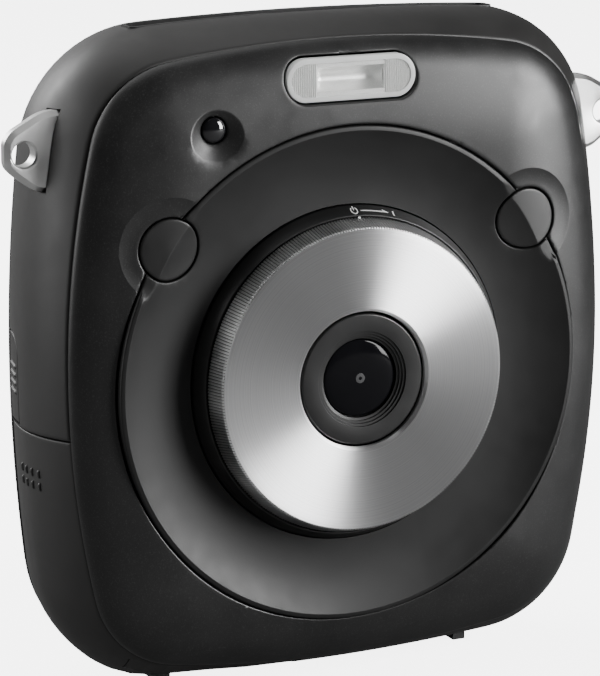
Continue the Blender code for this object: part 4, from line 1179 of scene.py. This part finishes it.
def rear_loft():
    """The door's outer skin from its seam to the flat back, as rings, with the wall inside."""
    start = REAR_SEAM_Y + GAP / 2
    ys = [start + d for d in EDGE_ROWS] + [start + 0.9, start + 1.8, REAR_ROUND_Y - 0.8]
    turns = 22
    ys += [
        REAR_ROUND_Y + (BACK_Y - REAR_ROUND_Y) * math.sin(i / turns * math.pi / 2)
        for i in range(turns + 1)
    ]
    outer, inner = [], []
    for y in ys:
        section = section_at(y, fillet(y - start))
        outer.append([(x, y, BODY_Z + z) for x, z in outline(*section)])
        depth = min(y, BACK_Y - WALL)
        section = section_at(depth, WALL)
        inner.append([(x, depth, BODY_Z + z) for x, z in outline(*section)])
    return outer, inner


KEY_NAMES = ("filter", "vignette", "brightness", "play", "print", "return")
KEY_ANGLES = (145, 180, 215, 35, 0, -35)
DIAL_Z, DIAL_R, PAD_R, OK_R, KEY_R, KEY_RING_R = 32.0, 15.0, 9.2, 5.0, 3.6, 27.0
CONTROL_FOOT_Y = 20.4
SCREEN_Z, SCREEN_W, SCREEN_H = 85.0, 68.0, 54.0
LOW_KEY_Z = 20.0
LATCH_X, LATCH_Z, LATCH_W, LATCH_H, LATCH_TRAVEL = -41.0, 64.0, 5.0, 11.0, 3.0


def key_places():
    return {
        name: (
            KEY_RING_R * math.cos(math.radians(angle)),
            DIAL_Z + KEY_RING_R * math.sin(math.radians(angle)),
        )
        for name, angle in zip(KEY_NAMES, KEY_ANGLES)
    }


def key_cutter(key):
    """Room for a low key, whose hole runs on into the door's rounded edge."""
    return cutter(*column(circle(KEY_R + GAP, 96, key), 17.5, 24.0, along_y))


def door():
    outer, inner = rear_loft()
    count = len(outer[0])
    rim = [(x, z) for x, _, z in outer[-1]]
    # The low keys' holes run over the rim, so they are cut from the finished solid instead.
    keys = [key for key in key_places().values() if key[1] >= LOW_KEY_Z]
    low_keys = [key for key in key_places().values() if key[1] < LOW_KEY_Z]
    slot = (LATCH_W + 2 * GAP, LATCH_H + LATCH_TRAVEL + 2 * GAP)
    slot_middle = (LATCH_X, LATCH_Z - LATCH_TRAVEL / 2)

    def edge(x, z):
        return min(
            rectangle_distance(x, z, SCREEN_W, SCREEN_H, 3.0, (0, SCREEN_Z)),
            math.hypot(x, z - DIAL_Z) - DIAL_R - GAP,
            rectangle_distance(x, z, *slot, 0.8, slot_middle),
            *(math.dist((x, z), key) - KEY_R - GAP for key in keys),
        )

    def keep(x, z):
        return edge(x, z) > 0 and inside_loop((x, z), rim)

    loops = [
        rim,
        refined(rounded_rectangle(SCREEN_W, SCREEN_H, 3.0, 10, (0, SCREEN_Z)), 2.0),
        circle(DIAL_R + GAP, 120, (0, DIAL_Z)),
        refined(rounded_rectangle(*slot, 0.8, 6, slot_middle), 1.0),
        *(circle(KEY_R + GAP, 48, key) for key in keys),
    ]
    rows = []
    for d in EDGE_ROWS[1:] + (0.9,):
        size = (SCREEN_W + 2 * d, SCREEN_H + 2 * d, 3.0 + d)
        rows.append(refined(rounded_rectangle(*size, 10, (0, SCREEN_Z)), 2.0))
        rows.append(circle(DIAL_R + GAP + d, 120, (0, DIAL_Z)))
        size = (slot[0] + 2 * d, slot[1] + 2 * d, 0.8 + d)
        rows.append(refined(rounded_rectangle(*size, 6, slot_middle), 1.0))
        rows += [circle(KEY_R + GAP + d, 48, key) for key in keys]
    rows = [[p for p in row if keep(*p)] for row in rows]
    spare = [p for p in grid_points((-50, 50), (12, 118), 3.0) if keep(*p)]
    spare = [p for p in spare if loop_distance(p, rim) > 1.0]
    points, faces = fill_plane(loops, rows, spare, keep, 0.3)

    loft_points = [p for ring in outer for p in ring]
    loft_inner = [p for ring in inner for p in ring]
    rings = len(outer)
    last = (rings - 1) * count
    ids, extra, extra_inner = [], [], []
    place = {(round(x, 3), round(z, 3)): last + k for k, (x, z) in enumerate(rim)}
    for p in points:
        key = (round(p.x, 3), round(p.y, 3))
        if key in place:
            ids.append(place[key])
        else:
            ids.append(len(loft_points) + len(extra))
            extra.append((p.x, BACK_Y - fillet(edge(p.x, p.y)), p.y))
            extra_inner.append((p.x, BACK_Y - WALL, p.y))
    skin = loft_points + extra
    lining = loft_inner + extra_inner
    total = len(skin)
    outward = []
    for i in range(rings - 1):
        for j in range(count):
            k = (j + 1) % count
            a, b = i * count, (i + 1) * count
            outward.append((a + j, b + j, b + k, a + k))
    sample = outward[0]
    normal = (Vector(skin[sample[1]]) - Vector(skin[sample[0]])).cross(
        Vector(skin[sample[2]]) - Vector(skin[sample[0]])
    )
    if normal.x < 0:
        outward = [tuple(reversed(face)) for face in outward]
    for face in faces:
        a, b, c = (ids[i] for i in face)
        pa, pb, pc = (Vector(skin[i]) for i in (a, b, c))
        up = (pb - pa).cross(pc - pa).y > 0
        outward.append((a, b, c) if up else (c, b, a))
    directed = set()
    for face in outward:
        for a, b in zip(face, face[1:] + face[:1]):
            directed.add((a, b))
    solid = list(outward)
    solid += [tuple(total + i for i in reversed(face)) for face in outward]
    for a, b in directed:
        if (b, a) not in directed:
            solid.append((b, a, total + a, total + b))
    obj = add_piece(
        "back_door", (skin + lining, solid), "film_door", "body_black", replaces=["rear_door"]
    )
    cut_with(obj, hinge_cutter(), *(key_cutter(key) for key in low_keys))
    add_piece("door_knuckle", knuckle(1, (0, 3.4)), "film_door", "body_black", sharp=30)


# ---------------------------------------------------------------- lens

AXIS = (0, 0, LENS_Z)
FACE_INNER_R, FACE_OUTER_R = 13.75, 28.45
KNURL_FRONT_R, KNURL_BACK_R = 28.95, 30.1
TEETH = 320
TOOTH_DEPTH = 0.2
TOOTH_SHAPE = (0.0, 0.0, 0.0, -TOOTH_DEPTH, -TOOTH_DEPTH)
# Faces that start at these tooth columns get painted shade, the dark groove material.
SHADE_PAINTED_COLUMNS = (3,)


def lens_ring():
    columns = TEETH * len(TOOTH_SHAPE)
    face_profile = [
        (13.0, -22.1),
        (13.0, -22.95),
        (13.05, -23.05),
        (13.55, -23.5),
        (FACE_INNER_R, FACE_Y),
    ]
    face_width = FACE_OUTER_R - FACE_INNER_R
    face_profile += [(FACE_INNER_R + face_width * i / 12, FACE_Y) for i in range(1, 13)]
    face_profile += [(28.55, FACE_Y + 0.02), (28.62, FACE_Y + 0.1)]
    tooth_rows = [(28.78, FACE_Y + 0.16), (KNURL_FRONT_R, FACE_Y + 0.3)]
    tooth_rows += [
        (KNURL_FRONT_R + (KNURL_BACK_R - KNURL_FRONT_R) * i / 5, FACE_Y + 0.3 + (4.0 - 0.3) * i / 5)
        for i in range(1, 6)
    ]
    tooth_rows += [(30.0, -19.3)]
    tail = [(29.6, -19.2), (28.3, -19.0), (28.3, -15.2), (26.8, -15.2), (26.8, -22.1)]
    profile = face_profile + tooth_rows + tail
    first = len(face_profile)
    strength = {first: 0.5}
    strength.update({first + i: 1.0 for i in range(1, len(tooth_rows) - 1)})
    strength[first + len(tooth_rows) - 1] = 0.6

    def wobble(row, i):
        return TOOTH_SHAPE[i % len(TOOTH_SHAPE)] * strength.get(row, 0.0)

    obj = add_piece(
        "control_ring", lathe(profile, columns, AXIS, wobble), "power_ring", "spun_metal",
        replaces=["lens_ring"], sharp=25, origin=AXIS
    )
    obj.data.materials.append(MATERIALS["knurl"])
    # the third material is painted shade for the knurl's grooves
    obj.data.materials.append(MATERIALS["groove"])
    low, high = first * columns, (first + len(tooth_rows)) * columns
    for polygon in obj.data.polygons:
        ids = polygon.vertices
        if min(ids) >= low - columns and max(ids) < high and max(ids) >= low:
            # a face starts at its lower column, except where the ring closes on itself
            steps = sorted({i % columns for i in ids})
            start = steps[-1] if steps[-1] - steps[0] > 1 else steps[0]
            # groove bottoms get the dark groove material as painted shade, the other tooth faces the
            # knurl metal
            polygon.material_index = 2 if start % len(TOOTH_SHAPE) in SHADE_PAINTED_COLUMNS else 1
    return obj


CONE_LOW_R, CONE_LOW_Y, CONE_HIGH_R, CONE_HIGH_Y = 32.0, -16.9, 30.55, -19.4
CONE_RISE = Vector((CONE_LOW_R - CONE_HIGH_R, CONE_LOW_Y - CONE_HIGH_Y))


def bezel():
    profile = [
        (28.6, -14.9),
        (BEZEL_R - GAP, -14.9),
        (CONE_LOW_R, CONE_LOW_Y),
        (CONE_HIGH_R, CONE_HIGH_Y),
        (30.32, CONE_HIGH_Y),
        (30.3, -18.6),
        (28.6, -18.6),
    ]
    profile = rounded(profile, [0, 0.3, 0.25, 0.12, 0.08, 0.1, 0.2], 4)
    add_piece(
        "bezel", lathe(profile, 360, AXIS), "camera", "satin_black", "bezel", replaces=["lens_bezel"],
        sharp=30
    )


def ribbon_on_bezel(loop, thickness=0.05):
    """A small mark from (degrees clockwise from the top, share away from the lens), as a solid."""
    normal = Vector((CONE_RISE.y, CONE_RISE.x)).normalized()

    def place(angle, share, lift):
        a = math.radians(90 - angle)
        r = CONE_HIGH_R + CONE_RISE.x * share + normal.x * lift
        y = CONE_HIGH_Y + CONE_RISE.y * share - normal.y * lift
        return (r * math.cos(a), y, LENS_Z + r * math.sin(a))

    points, faces = fill_plane([loop], [], [], lambda u, v: inside_loop((u, v), loop), 0.001)
    return plate(
        points, faces, lambda u, v: place(u, v, thickness), lambda u, v: place(u, v, -0.12)
    )


def bezel_marks():
    """Generic white marks: a power sign, an arrow towards it, and an on bar."""
    parts = []
    height = CONE_RISE.length
    degree = math.radians(1) * (CONE_LOW_R + CONE_HIGH_R) / 2

    def arc(reach_u, reach_v, start, end, width, middle, steps=22):
        """An open ring, with its height drawn out as printed marks on a slope are."""
        outer, inner = [], []
        for i in range(steps + 1):
            a = math.radians(start + (end - start) * i / steps)
            for side, extra in ((outer, width / 2), (inner, -width / 2)):
                u = middle[0] + (reach_u + extra) * math.cos(a) / degree
                side.append((u, middle[1] + (reach_v + 1.4 * extra) * math.sin(a) / height))
        return outer + inner[::-1]

    def bar(u0, u1, v0, v1):
        return refined([(u0, v0), (u1, v0), (u1, v1), (u0, v1)], 0.4)

    # Each loop is in degrees round the bezel and a share of its slope's height.
    parts.append(arc(0.62, 0.88, 125, 415, 0.2, (0.65, 0.47)))
    parts.append(bar(0.47, 0.83, 0.5, 0.9))
    parts.append(bar(3.1, 12.0, 0.40, 0.475))
    parts.append([(11.4, 0.40), (13.8, 0.40), (13.8, 0.44), (11.7, 0.68), (11.4, 0.60), (12.4, 0.475)])
    parts.append(bar(15.55, 16.05, 0.22, 0.68))
    pieces = []
    for loop in parts:
        pieces.append(outward(*ribbon_on_bezel(counter_clockwise(loop))))
    add_piece("bezel_marks", merged(*pieces), "camera", "satin_black", "mark_white", sharp=30)


def ring_pointer():
    """The small white mark on the ring's edge that points at the power sign."""
    a = math.radians(90 - 1.6)
    vertices, faces = lathe([(0, -19.55), (0.28, -19.55), (0.28, -19.25), (0, -19.25)], 16)
    middle = (30.02 * math.cos(a), 0, LENS_Z + 30.02 * math.sin(a))
    vertices = [(x + middle[0], y, z + middle[2]) for x, y, z in vertices]
    add_piece("ring_pointer", (vertices, faces), "power_ring", "spun_metal", "mark_white", sharp=30)


def name_plate():
    """The dark ring inside the lens ring, with three fine steps down to the glass."""
    steps = []
    for i in range(3):
        r = 9.1 - i * 0.5
        y = -22.8 + i * 0.35
        steps += [(r, y), (r, y + 0.35)]
    profile = steps + [(7.6, -21.7), (7.6, -20.6), (12.5, -20.6), (12.5, -22.6), (12.25, -22.8)]
    profile = rounded(profile, [0.08] * 6 + [0.05, 0, 0, 0.1, 0.1], 3)
    add_piece(
        "name_plate", lathe(profile, 192, AXIS), "camera", "satin_black", "bezel",
        replaces=["name_ring"], sharp=30
    )


def glass():
    profile = [(0, -20.0), (7.3, -20.0), (7.3, -21.2)]
    profile += [
        (7.3 * math.cos(math.radians(a)), -21.2 - 0.62 * math.sin(math.radians(a)))
        for a in (8, 20, 35, 50, 65, 78)
    ]
    profile += [(0, -21.83)]
    add_piece(
        "lens_glass", lathe(profile, 128, AXIS, closed=False), "camera", "glass", "lens_coated",
        replaces=["front_glass"], sharp=50
    )
    iris = [(0.35, -21.86), (0.8, -21.86), (0.95, -21.84), (0.95, -21.7), (0.35, -21.7)]
    add_piece("iris_ring", lathe(iris, 48, AXIS), "camera", "glass", "inner_plastic", sharp=30)


# ---------------------------------------------------------------- flash, lamp and lugs


def stadium_ring(outer_inset, inner_inset, front, back, steps=22):
    """A stadium-shaped band of the flash window."""
    outer = refined(rounded_rectangle(*flash_size(outer_inset), steps, FLASH_CENTRE), 0.8)
    inner = refined(rounded_rectangle(*flash_size(inner_inset), steps, FLASH_CENTRE), 0.8)

    def keep(x, z):
        return (
            rectangle_distance(x, z, *flash_size(outer_inset), FLASH_CENTRE) < 0
            and rectangle_distance(x, z, *flash_size(inner_inset), FLASH_CENTRE) > 0
        )

    rows = [
        refined(rounded_rectangle(*flash_size(outer_inset + d), steps, FLASH_CENTRE), 0.8)
        for d in EDGE_ROWS[1:]
    ]
    rows = [[p for p in row if keep(*p)] for row in rows]
    points, faces = fill_plane([outer, inner], rows, [], keep, 0.05)

    def lift(x, z):
        d = -rectangle_distance(x, z, *flash_size(outer_inset), FLASH_CENTRE)
        return (x, front + fillet(d), z)

    return plate(points, faces, lift, lambda x, z: (x, back, z))


FLASH_FRONT = front_y(inward_distance(0, FLASH_Z))
REFLECTOR_W, REFLECTOR_H = 13.7, 4.5
RIDGE_PITCH = 0.38


def ridged_ends(front, back):
    """The two ends of the flash window, with fine upright ridges, round the open middle."""
    size = flash_size(1.25)

    def keep(x, z):
        return rectangle_distance(x, z, *size, FLASH_CENTRE) < 0 and (
            abs(x) > REFLECTOR_W / 2 or abs(z - FLASH_Z) > REFLECTOR_H / 2
        )

    outer = refined(rounded_rectangle(*size, 22, FLASH_CENTRE), 0.4)
    half = REFLECTOR_W / 2
    hole = refined(block(0, FLASH_Z, REFLECTOR_W, REFLECTOR_H), 0.5)
    rows = []
    quarter = RIDGE_PITCH / 4
    start = -size[0] / 2
    for i in range(int(size[0] / quarter)):
        x = start + i * quarter
        if abs(x) > half + 0.1:
            rows.append(
                [p for p in ((x, FLASH_Z - 3.1 + 0.62 * k) for k in range(11)) if keep(*p)]
            )
    points, faces = fill_plane([outer, hole], rows, [], keep, 0.02)

    def lift(x, z):
        if abs(x) < half + 0.05:
            return (x, front, z)
        phase = ((x - start) / RIDGE_PITCH) % 1
        return (x, front - 0.22 * (1 - abs(2 * phase - 1)), z)

    return plate(points, faces, lift, lambda x, z: (x, back, z))


def reflector():
    """The trough behind the window's middle: curved bands above and below the tube."""
    half_w, half_h, depth = REFLECTOR_W / 2, REFLECTOR_H / 2, 2.6
    front = FLASH_FRONT + 0.5
    steps = 20
    section = []
    for i in range(steps + 1):
        t = 2 * i / steps - 1
        section.append((half_h * t, front + depth * (1 - abs(t) ** 2.4)))
    columns = 24
    outer, inner = [], []
    for i in range(columns + 1):
        s = 2 * i / columns - 1
        end = min(1.0, (1 - abs(s)) * 5)
        share = 0.25 + 0.75 * end**0.7
        row = [(half_w * s, front + (y - front) * share, FLASH_Z + z) for z, y in section]
        outer.append(row)
        inner.append([(x, y + 0.35, z) for x, y, z in row])
    return strip_solid(outer, inner)


def flash():
    rim = stadium_ring(GAP, 1.3, FLASH_FRONT - 0.1, FLASH_FRONT + 1.5)
    add_piece(
        "flash_rim", rim, "camera", "clear_plastic", "frosted", replaces=["flash_window"], sharp=50
    )
    ends = ridged_ends(FLASH_FRONT + 0.3, FLASH_FRONT + 0.8)
    add_piece("flash_ridges", ends, "camera", "clear_plastic", "ridged", sharp=20)
    add_piece(
        "flash_trough", reflector(), "camera", "chrome", "reflector", replaces=["flash_reflector"],
        sharp=50
    )
    cover = column(
        rounded_rectangle(*flash_size(1.35), 22, FLASH_CENTRE),
        FLASH_FRONT - 0.02,
        FLASH_FRONT + 0.04,
        along_y,
    )
    add_piece("flash_pane", cover, "camera", "clear_plastic", "pane", sharp=50)


def lamp():
    lamp_y = front_y(inward_distance(LAMP_X, LAMP_Z))
    profile = [(0, lamp_y + 4.4), (3.2, lamp_y + 4.4), (3.2, lamp_y + 3.4), (2.3, lamp_y + 3.4)]
    profile += [(2.3, lamp_y + 1.4)]
    profile += [
        (2.3 * math.cos(math.radians(a)), lamp_y + 1.3 - 0.85 * math.sin(math.radians(a)))
        for a in (4, 12, 22, 34, 46, 58, 70, 80)
    ]
    profile += [(0, lamp_y + 0.44)]
    add_piece(
        "lamp_dome", lathe(profile, 64, (LAMP_X, 0, LAMP_Z), closed=False), "camera", "clear_plastic",
        "glass", replaces=["assist_lamp_lens"], sharp=50
    )


LUG_Z, LUG_Y, LUG_DEPTH = 105.3, -4.9, 3.4
LUG_HOLE_X, LUG_HOLE_R, LUG_CHAMFER, LUG_CLEARANCE = 60.4, 2.3, 0.95, 0.15
LUG_CORNERS = (
    (51.2, -7.2),
    (57.8, -7.2),
    (62.2, -4.0),
    (63.95, -2.2),
    (63.95, 2.4),
    (62.6, 4.2),
    (56.8, 7.4),
    (51.2, 8.0),
)


def lug_loop(sign):
    """The lug's outline seen from the front, counter-clockwise, on the right or on the left."""
    loop = [(sign * x, LUG_Z + z) for x, z in rounded(LUG_CORNERS, 1.6, 6)]
    return refined(loop if sign > 0 else loop[::-1], 0.5)


def lug_cutter(sign):
    half = LUG_DEPTH / 2 + LUG_CLEARANCE
    loop = drawn_in(lug_loop(sign), -LUG_CLEARANCE)
    return cutter(*column(loop, LUG_Y - half, LUG_Y + half, along_y))


def lug(side, sign):
    """A strap lug, chamfered round its outline and its hole."""
    loop = lug_loop(sign)
    hole_centre = (sign * LUG_HOLE_X, LUG_Z)
    hole = circle(LUG_HOLE_R, 64, hole_centre)

    def keep(x, z):
        return inside_loop((x, z), loop) and math.dist((x, z), hole_centre) > LUG_HOLE_R

    rows = [drawn_in(loop, d) for d in (0.1, 0.3, 0.6, 0.9, 0.95, 1.0, 1.1)]
    rows += [circle(LUG_HOLE_R + d, 64, hole_centre) for d in (0.08, 0.2, 0.32, 0.4)]
    rows = [[p for p in row if keep(*p)] for row in rows]
    points, faces = fill_plane([loop, hole], rows, [], keep, 0.02)

    def chamfer(x, z):
        outer = loop_distance((x, z), loop)
        rim = math.dist((x, z), hole_centre) - LUG_HOLE_R
        drop = max(0.0, LUG_CHAMFER - outer) * 0.95
        return max(drop, max(0.0, 0.34 - rim) * 0.8)

    def lift(x, z):
        return (x, LUG_Y - LUG_DEPTH / 2 + chamfer(x, z), z)

    def back(x, z):
        return (x, LUG_Y + LUG_DEPTH / 2 - chamfer(x, z), z)

    add_piece(
        f"lug_{side}", outward(*plate(points, faces, lift, back)), "camera", "chrome", "lug_metal",
        replaces=[f"strap_lug_{side}"], sharp=24
    )


# ---------------------------------------------------------------- the back's controls


def turned_control(name, profile, body, replaced, centre, steps, wobble=None):
    solid = lathe(profile, steps, centre, wobble, closed=profile[0][0] > 1e-6)
    add_piece(name, solid, body, "satin_black", replaces=[replaced], sharp=35)


def back_controls():
    middle = (0, 0, DIAL_Z)
    corners = [(9.5, 23.5), (DIAL_R, 23.5), (DIAL_R, CONTROL_FOOT_Y), (9.5, CONTROL_FOOT_Y)]
    dial = rounded(corners, [0.35, 0.7, 0, 0], 6)
    teeth = 60
    columns = teeth * 6
    shape = (0.0, 0.0, -0.1, -0.32, -0.32, -0.1)
    outer_rows = {i for i, (r, y) in enumerate(dial) if r > DIAL_R - 0.6 and y > CONTROL_FOOT_Y + 0.1}

    def wobble(row, i):
        return shape[i % 6] if row in outer_rows else 0.0

    turned_control("dial", dial, "control_dial", "control_dial", middle, columns, wobble)
    corners = [(5.3, 23.0), (PAD_R, 23.0), (PAD_R, CONTROL_FOOT_Y), (5.3, CONTROL_FOOT_Y)]
    pad = rounded(corners, [0.25, 0.4, 0, 0], 5)
    turned_control("pad", pad, "arrow_pad", "arrow_pad", middle, 120)
    ok = [(0, 23.12), (2.0, 23.14), (3.6, 23.22), (4.4, 23.3), (4.75, 23.25), (4.95, 23.0)]
    ok += [(OK_R, 22.7), (OK_R, CONTROL_FOOT_Y), (0, CONTROL_FOOT_Y)]
    turned_control("ok", ok, "ok_button", "ok_button", middle, 96)
    key = [(0, 23.3), (2.4, 23.28), (3.1, 23.2), (3.45, 23.02), (KEY_R, 22.7)]
    key += [(KEY_R, CONTROL_FOOT_Y), (0, CONTROL_FOOT_Y)]
    for name, (x, z) in key_places().items():
        turned_control(f"{name}_key_cap", key, f"{name}_key", f"{name}_button", (x, 0, z), 64)


def raised_mark(name, loops, body, y):
    """Thin raised marks on a face that looks towards the back."""
    parts = [column(loop, y - 0.1, y + 0.05, along_y) for loop in loops]
    add_piece(name, merged(*parts), body, "satin_black", "mark_grey", sharp=30)


def triangle(x, z, size, angle):
    return [
        (
            x + size * math.cos(math.radians(angle + 120 * i)),
            z + size * math.sin(math.radians(angle + 120 * i)),
        )
        for i in range(3)
    ]


def ring_segments(x, z, radius, width, start, end, steps=16):
    outer, inner = [], []
    for i in range(steps + 1):
        a = math.radians(start + (end - start) * i / steps)
        outer.append((x + radius * math.cos(a), z + radius * math.sin(a)))
        inner.append((x + (radius - width) * math.cos(a), z + (radius - width) * math.sin(a)))
    return outer + inner[::-1]


def back_marks():
    """Generic signs on the pad and the keys."""
    arrows = [
        triangle(7.3 * math.cos(a), DIAL_Z + 7.3 * math.sin(a), 0.75, math.degrees(a))
        for a in (0, math.pi / 2, math.pi, 1.5 * math.pi)
    ]
    raised_mark("pad_arrows", arrows, "arrow_pad", 23.0)

    def three_rings(x, z):
        middles = ((x - 0.5, z - 0.3), (x + 0.5, z - 0.3), (x + 0, z + 0.5))
        return [ring_segments(*middle, 0.95, 0.2, 0, 350) for middle in middles]

    def ring_and_dot(x, z):
        return [ring_segments(x, z, 1.5, 0.22, 0, 352), circle(0.7, 24, (x, z))]

    def sun(x, z):
        angles = (math.radians(45 * i) for i in range(8))
        rays = [block(x + 1.35 * math.cos(a), z + 1.35 * math.sin(a), 0.22, 0.22) for a in angles]
        return [circle(0.75, 24, (x, z)), *rays]

    def arrow_head(x, z):
        return [triangle(x, z, 1.3, 180)]

    def printer(x, z):
        return [block(x, z - 0.5, 2.4, 1.0), block(x, z + 0.75, 1.4, 0.7)]

    def turning_back(x, z):
        return [ring_segments(x, z, 1.1, 0.24, -90, 150), triangle(x - 1.0, z + 0.6, 0.6, 250)]

    signs = (three_rings, ring_and_dot, sun, arrow_head, printer, turning_back)
    for (name, place), sign in zip(key_places().items(), signs):
        raised_mark(f"{name}_sign", sign(*place), f"{name}_key", 23.28)


def screen():
    width, height = SCREEN_W - 2 * GAP, SCREEN_H - 2 * GAP
    size = (width, height, 2.8)
    loop = refined(rounded_rectangle(*size, 10, (0, SCREEN_Z)), 3.0)
    rows = []
    for d in EDGE_ROWS[1:] + (0.7,):
        row = rounded_rectangle(width - 2 * d, height - 2 * d, 2.8 - d, 10, (0, SCREEN_Z))
        rows.append(refined(row, 3.0))
    spare = grid_points((-30, 30), (62, 108), 5.0)

    def distance(x, z):
        return -rectangle_distance(x, z, *size, (0, SCREEN_Z))

    points, faces = fill_plane([loop], rows, spare, lambda x, z: distance(x, z) > 0, 0.05)

    def lift(x, z):
        return (x, BACK_Y - fillet(distance(x, z), 0.5), z)

    add_piece(
        "screen_cover", outward(*plate(points, faces, lift, lambda x, z: (x, BACK_Y - 1.2, z))),
        "film_door", "glass", replaces=["screen_glass"], sharp=50
    )


def latch():
    """The thumb slider, with fine ridges across it."""
    size = (LATCH_W, LATCH_H, 0.7)
    middle = (LATCH_X, LATCH_Z)
    loop = refined(rounded_rectangle(*size, 6, middle), 0.5)
    rows = [
        refined(rounded_rectangle(size[0] - 2 * d, size[1] - 2 * d, 0.7 - 0.5 * d, 6, middle), 0.5)
        for d in EDGE_ROWS[1:]
    ]
    span_x = (LATCH_X - 2.1, LATCH_X + 2.1)
    spare = grid_points(span_x, (LATCH_Z - 5, LATCH_Z + 5), 0.22)

    def distance(x, z):
        return -rectangle_distance(x, z, *size, middle)

    def ridge(x, z):
        if distance(x, z) < 0.6:
            return 0.0
        return 0.16 * (0.5 + 0.5 * math.cos((z - LATCH_Z) * 2 * math.pi / 1.3))

    points, faces = fill_plane([loop], rows, spare, lambda x, z: distance(x, z) > 0, 0.1)
    vertices, solid = plate(
        points,
        faces,
        lambda x, z: (x, 23.2 + ridge(x, z) - fillet(distance(x, z)), z),
        lambda x, z: (x, 20.5, z),
    )
    foot = box_mesh((LATCH_X - 3.5, 19.5, LATCH_Z - 9), (LATCH_X + 3.5, 20.5, LATCH_Z + 9))
    add_piece(
        "latch_slider", merged((vertices, face_out(vertices, solid)), foot), "door_latch",
        "satin_black", replaces=["door_latch"], sharp=60
    )


# ---------------------------------------------------------------- underside


THREAD_R = 2.95


def socket_thread():
    """The tripod socket with a visible thread."""
    rows = [(6.0, 2.3), (6.0, 10.0), (0, 10.0), (0, 8.2), (THREAD_R, 8.2)]
    z = 8.0
    for _ in range(6):
        rows += [(THREAD_R, z), (THREAD_R + 0.25, z - 0.42)]
        z -= 0.84
    rows += [(3.0, 2.8), (3.5, 2.3)]
    socket = upright_lathe(rows, 72, SOCKET_X, WIDEST_Y)
    add_piece("socket_thread", socket, "camera", "brass", replaces=["tripod_socket"], sharp=25)


# ---------------------------------------------------------------- light, floor and view


LIGHT_TARGET = (0, 0, 0.065)


def area_light(name, place, size, power):
    """A rectangular lamp that points at the camera's middle."""
    data = bpy.data.lights.new(name, "AREA")
    data.shape = "RECTANGLE"
    data.size, data.size_y = size
    data.energy = power
    obj = bpy.data.objects.new(name, data)
    bpy.context.scene.collection.objects.link(obj)
    obj.location = place
    direction = Vector(LIGHT_TARGET) - Vector(place)
    obj.rotation_euler = direction.to_track_quat("-Z", "Y").to_euler()


FLOOR_GLOW, BACKDROP_GLOW = 5.0, 12.0
ROOM_FRONT, ROOM_BACK = 0.03, 0.75
ROOM_LIGHT_FROM = (-0.52, 0.80, 0.30)


def floor():
    mesh = bpy.data.meshes.new("floor")
    reach, z = 6.0, -0.02 * MM  # just under the feet, so that the two don't share a plane
    corners = [(-reach, -reach, z), (reach, -reach, z), (reach, reach, z), (-reach, reach, z)]
    mesh.from_pydata(corners, [], [(0, 1, 2, 3)])
    obj = bpy.data.objects.new("floor", mesh)
    bpy.context.scene.collection.objects.link(obj)
    n = Nodes("floor_paper")
    path = n.tree.nodes.new("ShaderNodeLightPath")
    seen = path.outputs["Is Camera Ray"]
    drift = n.remap(n.noise(3.0, 3.0), 0, 1)
    white = n.blend(drift, (0.88, 0.88, 0.88), (0.9, 0.9, 0.9))
    n.set(
        Base_Color=n.blend(seen, (0.16, 0.16, 0.16), white),
        Roughness=0.9,
        Emission_Color=(1.0, 1.0, 1.0),
        Emission_Strength=n.remap(seen, 0, FLOOR_GLOW, 0, 1),
    )
    mesh.materials.append(n.material)


def world():
    """White behind the object for the camera, and for its reflections a room lighter at the back."""
    made = bpy.data.worlds.new("studio")
    made.use_nodes = True
    tree = made.node_tree
    background = tree.nodes["Background"]
    path = tree.nodes.new("ShaderNodeLightPath")
    direction = tree.nodes.new("ShaderNodeTexCoord")
    towards = tree.nodes.new("ShaderNodeVectorMath")
    towards.operation = "DOT_PRODUCT"
    towards.inputs[1].default_value = Vector(ROOM_LIGHT_FROM).normalized()
    tree.links.new(direction.outputs["Generated"], towards.inputs[0])
    room = tree.nodes.new("ShaderNodeMapRange")
    room.interpolation_type = "SMOOTHSTEP"
    room.inputs["From Min"].default_value = 0.2
    room.inputs["From Max"].default_value = 0.85
    room.inputs["To Min"].default_value = ROOM_FRONT
    room.inputs["To Max"].default_value = ROOM_BACK
    tree.links.new(towards.outputs["Value"], room.inputs["Value"])
    strength = tree.nodes.new("ShaderNodeMapRange")
    strength.inputs["To Max"].default_value = BACKDROP_GLOW
    tree.links.new(path.outputs["Is Camera Ray"], strength.inputs["Value"])
    tree.links.new(room.outputs["Result"], strength.inputs["To Min"])
    tree.links.new(strength.outputs["Result"], background.inputs["Strength"])
    background.inputs["Color"].default_value = (1, 1, 1, 1)
    bpy.context.scene.world = made


FOCAL_MM = 184.38
CAMERA_PLACE = Vector((-0.27985, -0.58608, 0.21015))
CAMERA_BACK = Vector((-0.41782, -0.88172, 0.21913))


def camera():
    data = bpy.data.cameras.new("camera")
    data.lens = FOCAL_MM
    data.sensor_width = 36
    data.clip_start = 0.01
    data.clip_end = 50
    obj = bpy.data.objects.new("camera", data)
    bpy.context.scene.collection.objects.link(obj)
    obj.location = CAMERA_PLACE
    obj.rotation_euler = CAMERA_BACK.to_track_quat("Z", "Y").to_euler()
    bpy.context.scene.camera = obj


def lights():
    area_light("key", (0.60, -0.54, 0.27), (0.26, 0.46), 12.5)
    area_light("top", (-0.05, 0.12, 0.75), (0.7, 0.6), 1.6)
    area_light("left", (-0.7, 0.15, 0.3), (0.35, 0.6), 2.8)
    area_light("back", (-0.45, 0.75, 0.50), (0.5, 0.5), 7)


camera()
world()
floor()
lights()
finish_cad_nodes()
front_cover()
dish()
for side, sign in SIDES:
    shutter_button(side, sign)
mid_casing()
slot_lip()
bottom_casing()
side_flap()
door()
lens_ring()
bezel()
bezel_marks()
ring_pointer()
name_plate()
glass()
flash()
lamp()
for side, sign in SIDES:
    lug(side, sign)
back_controls()
back_marks()
screen()
latch()
socket_thread()
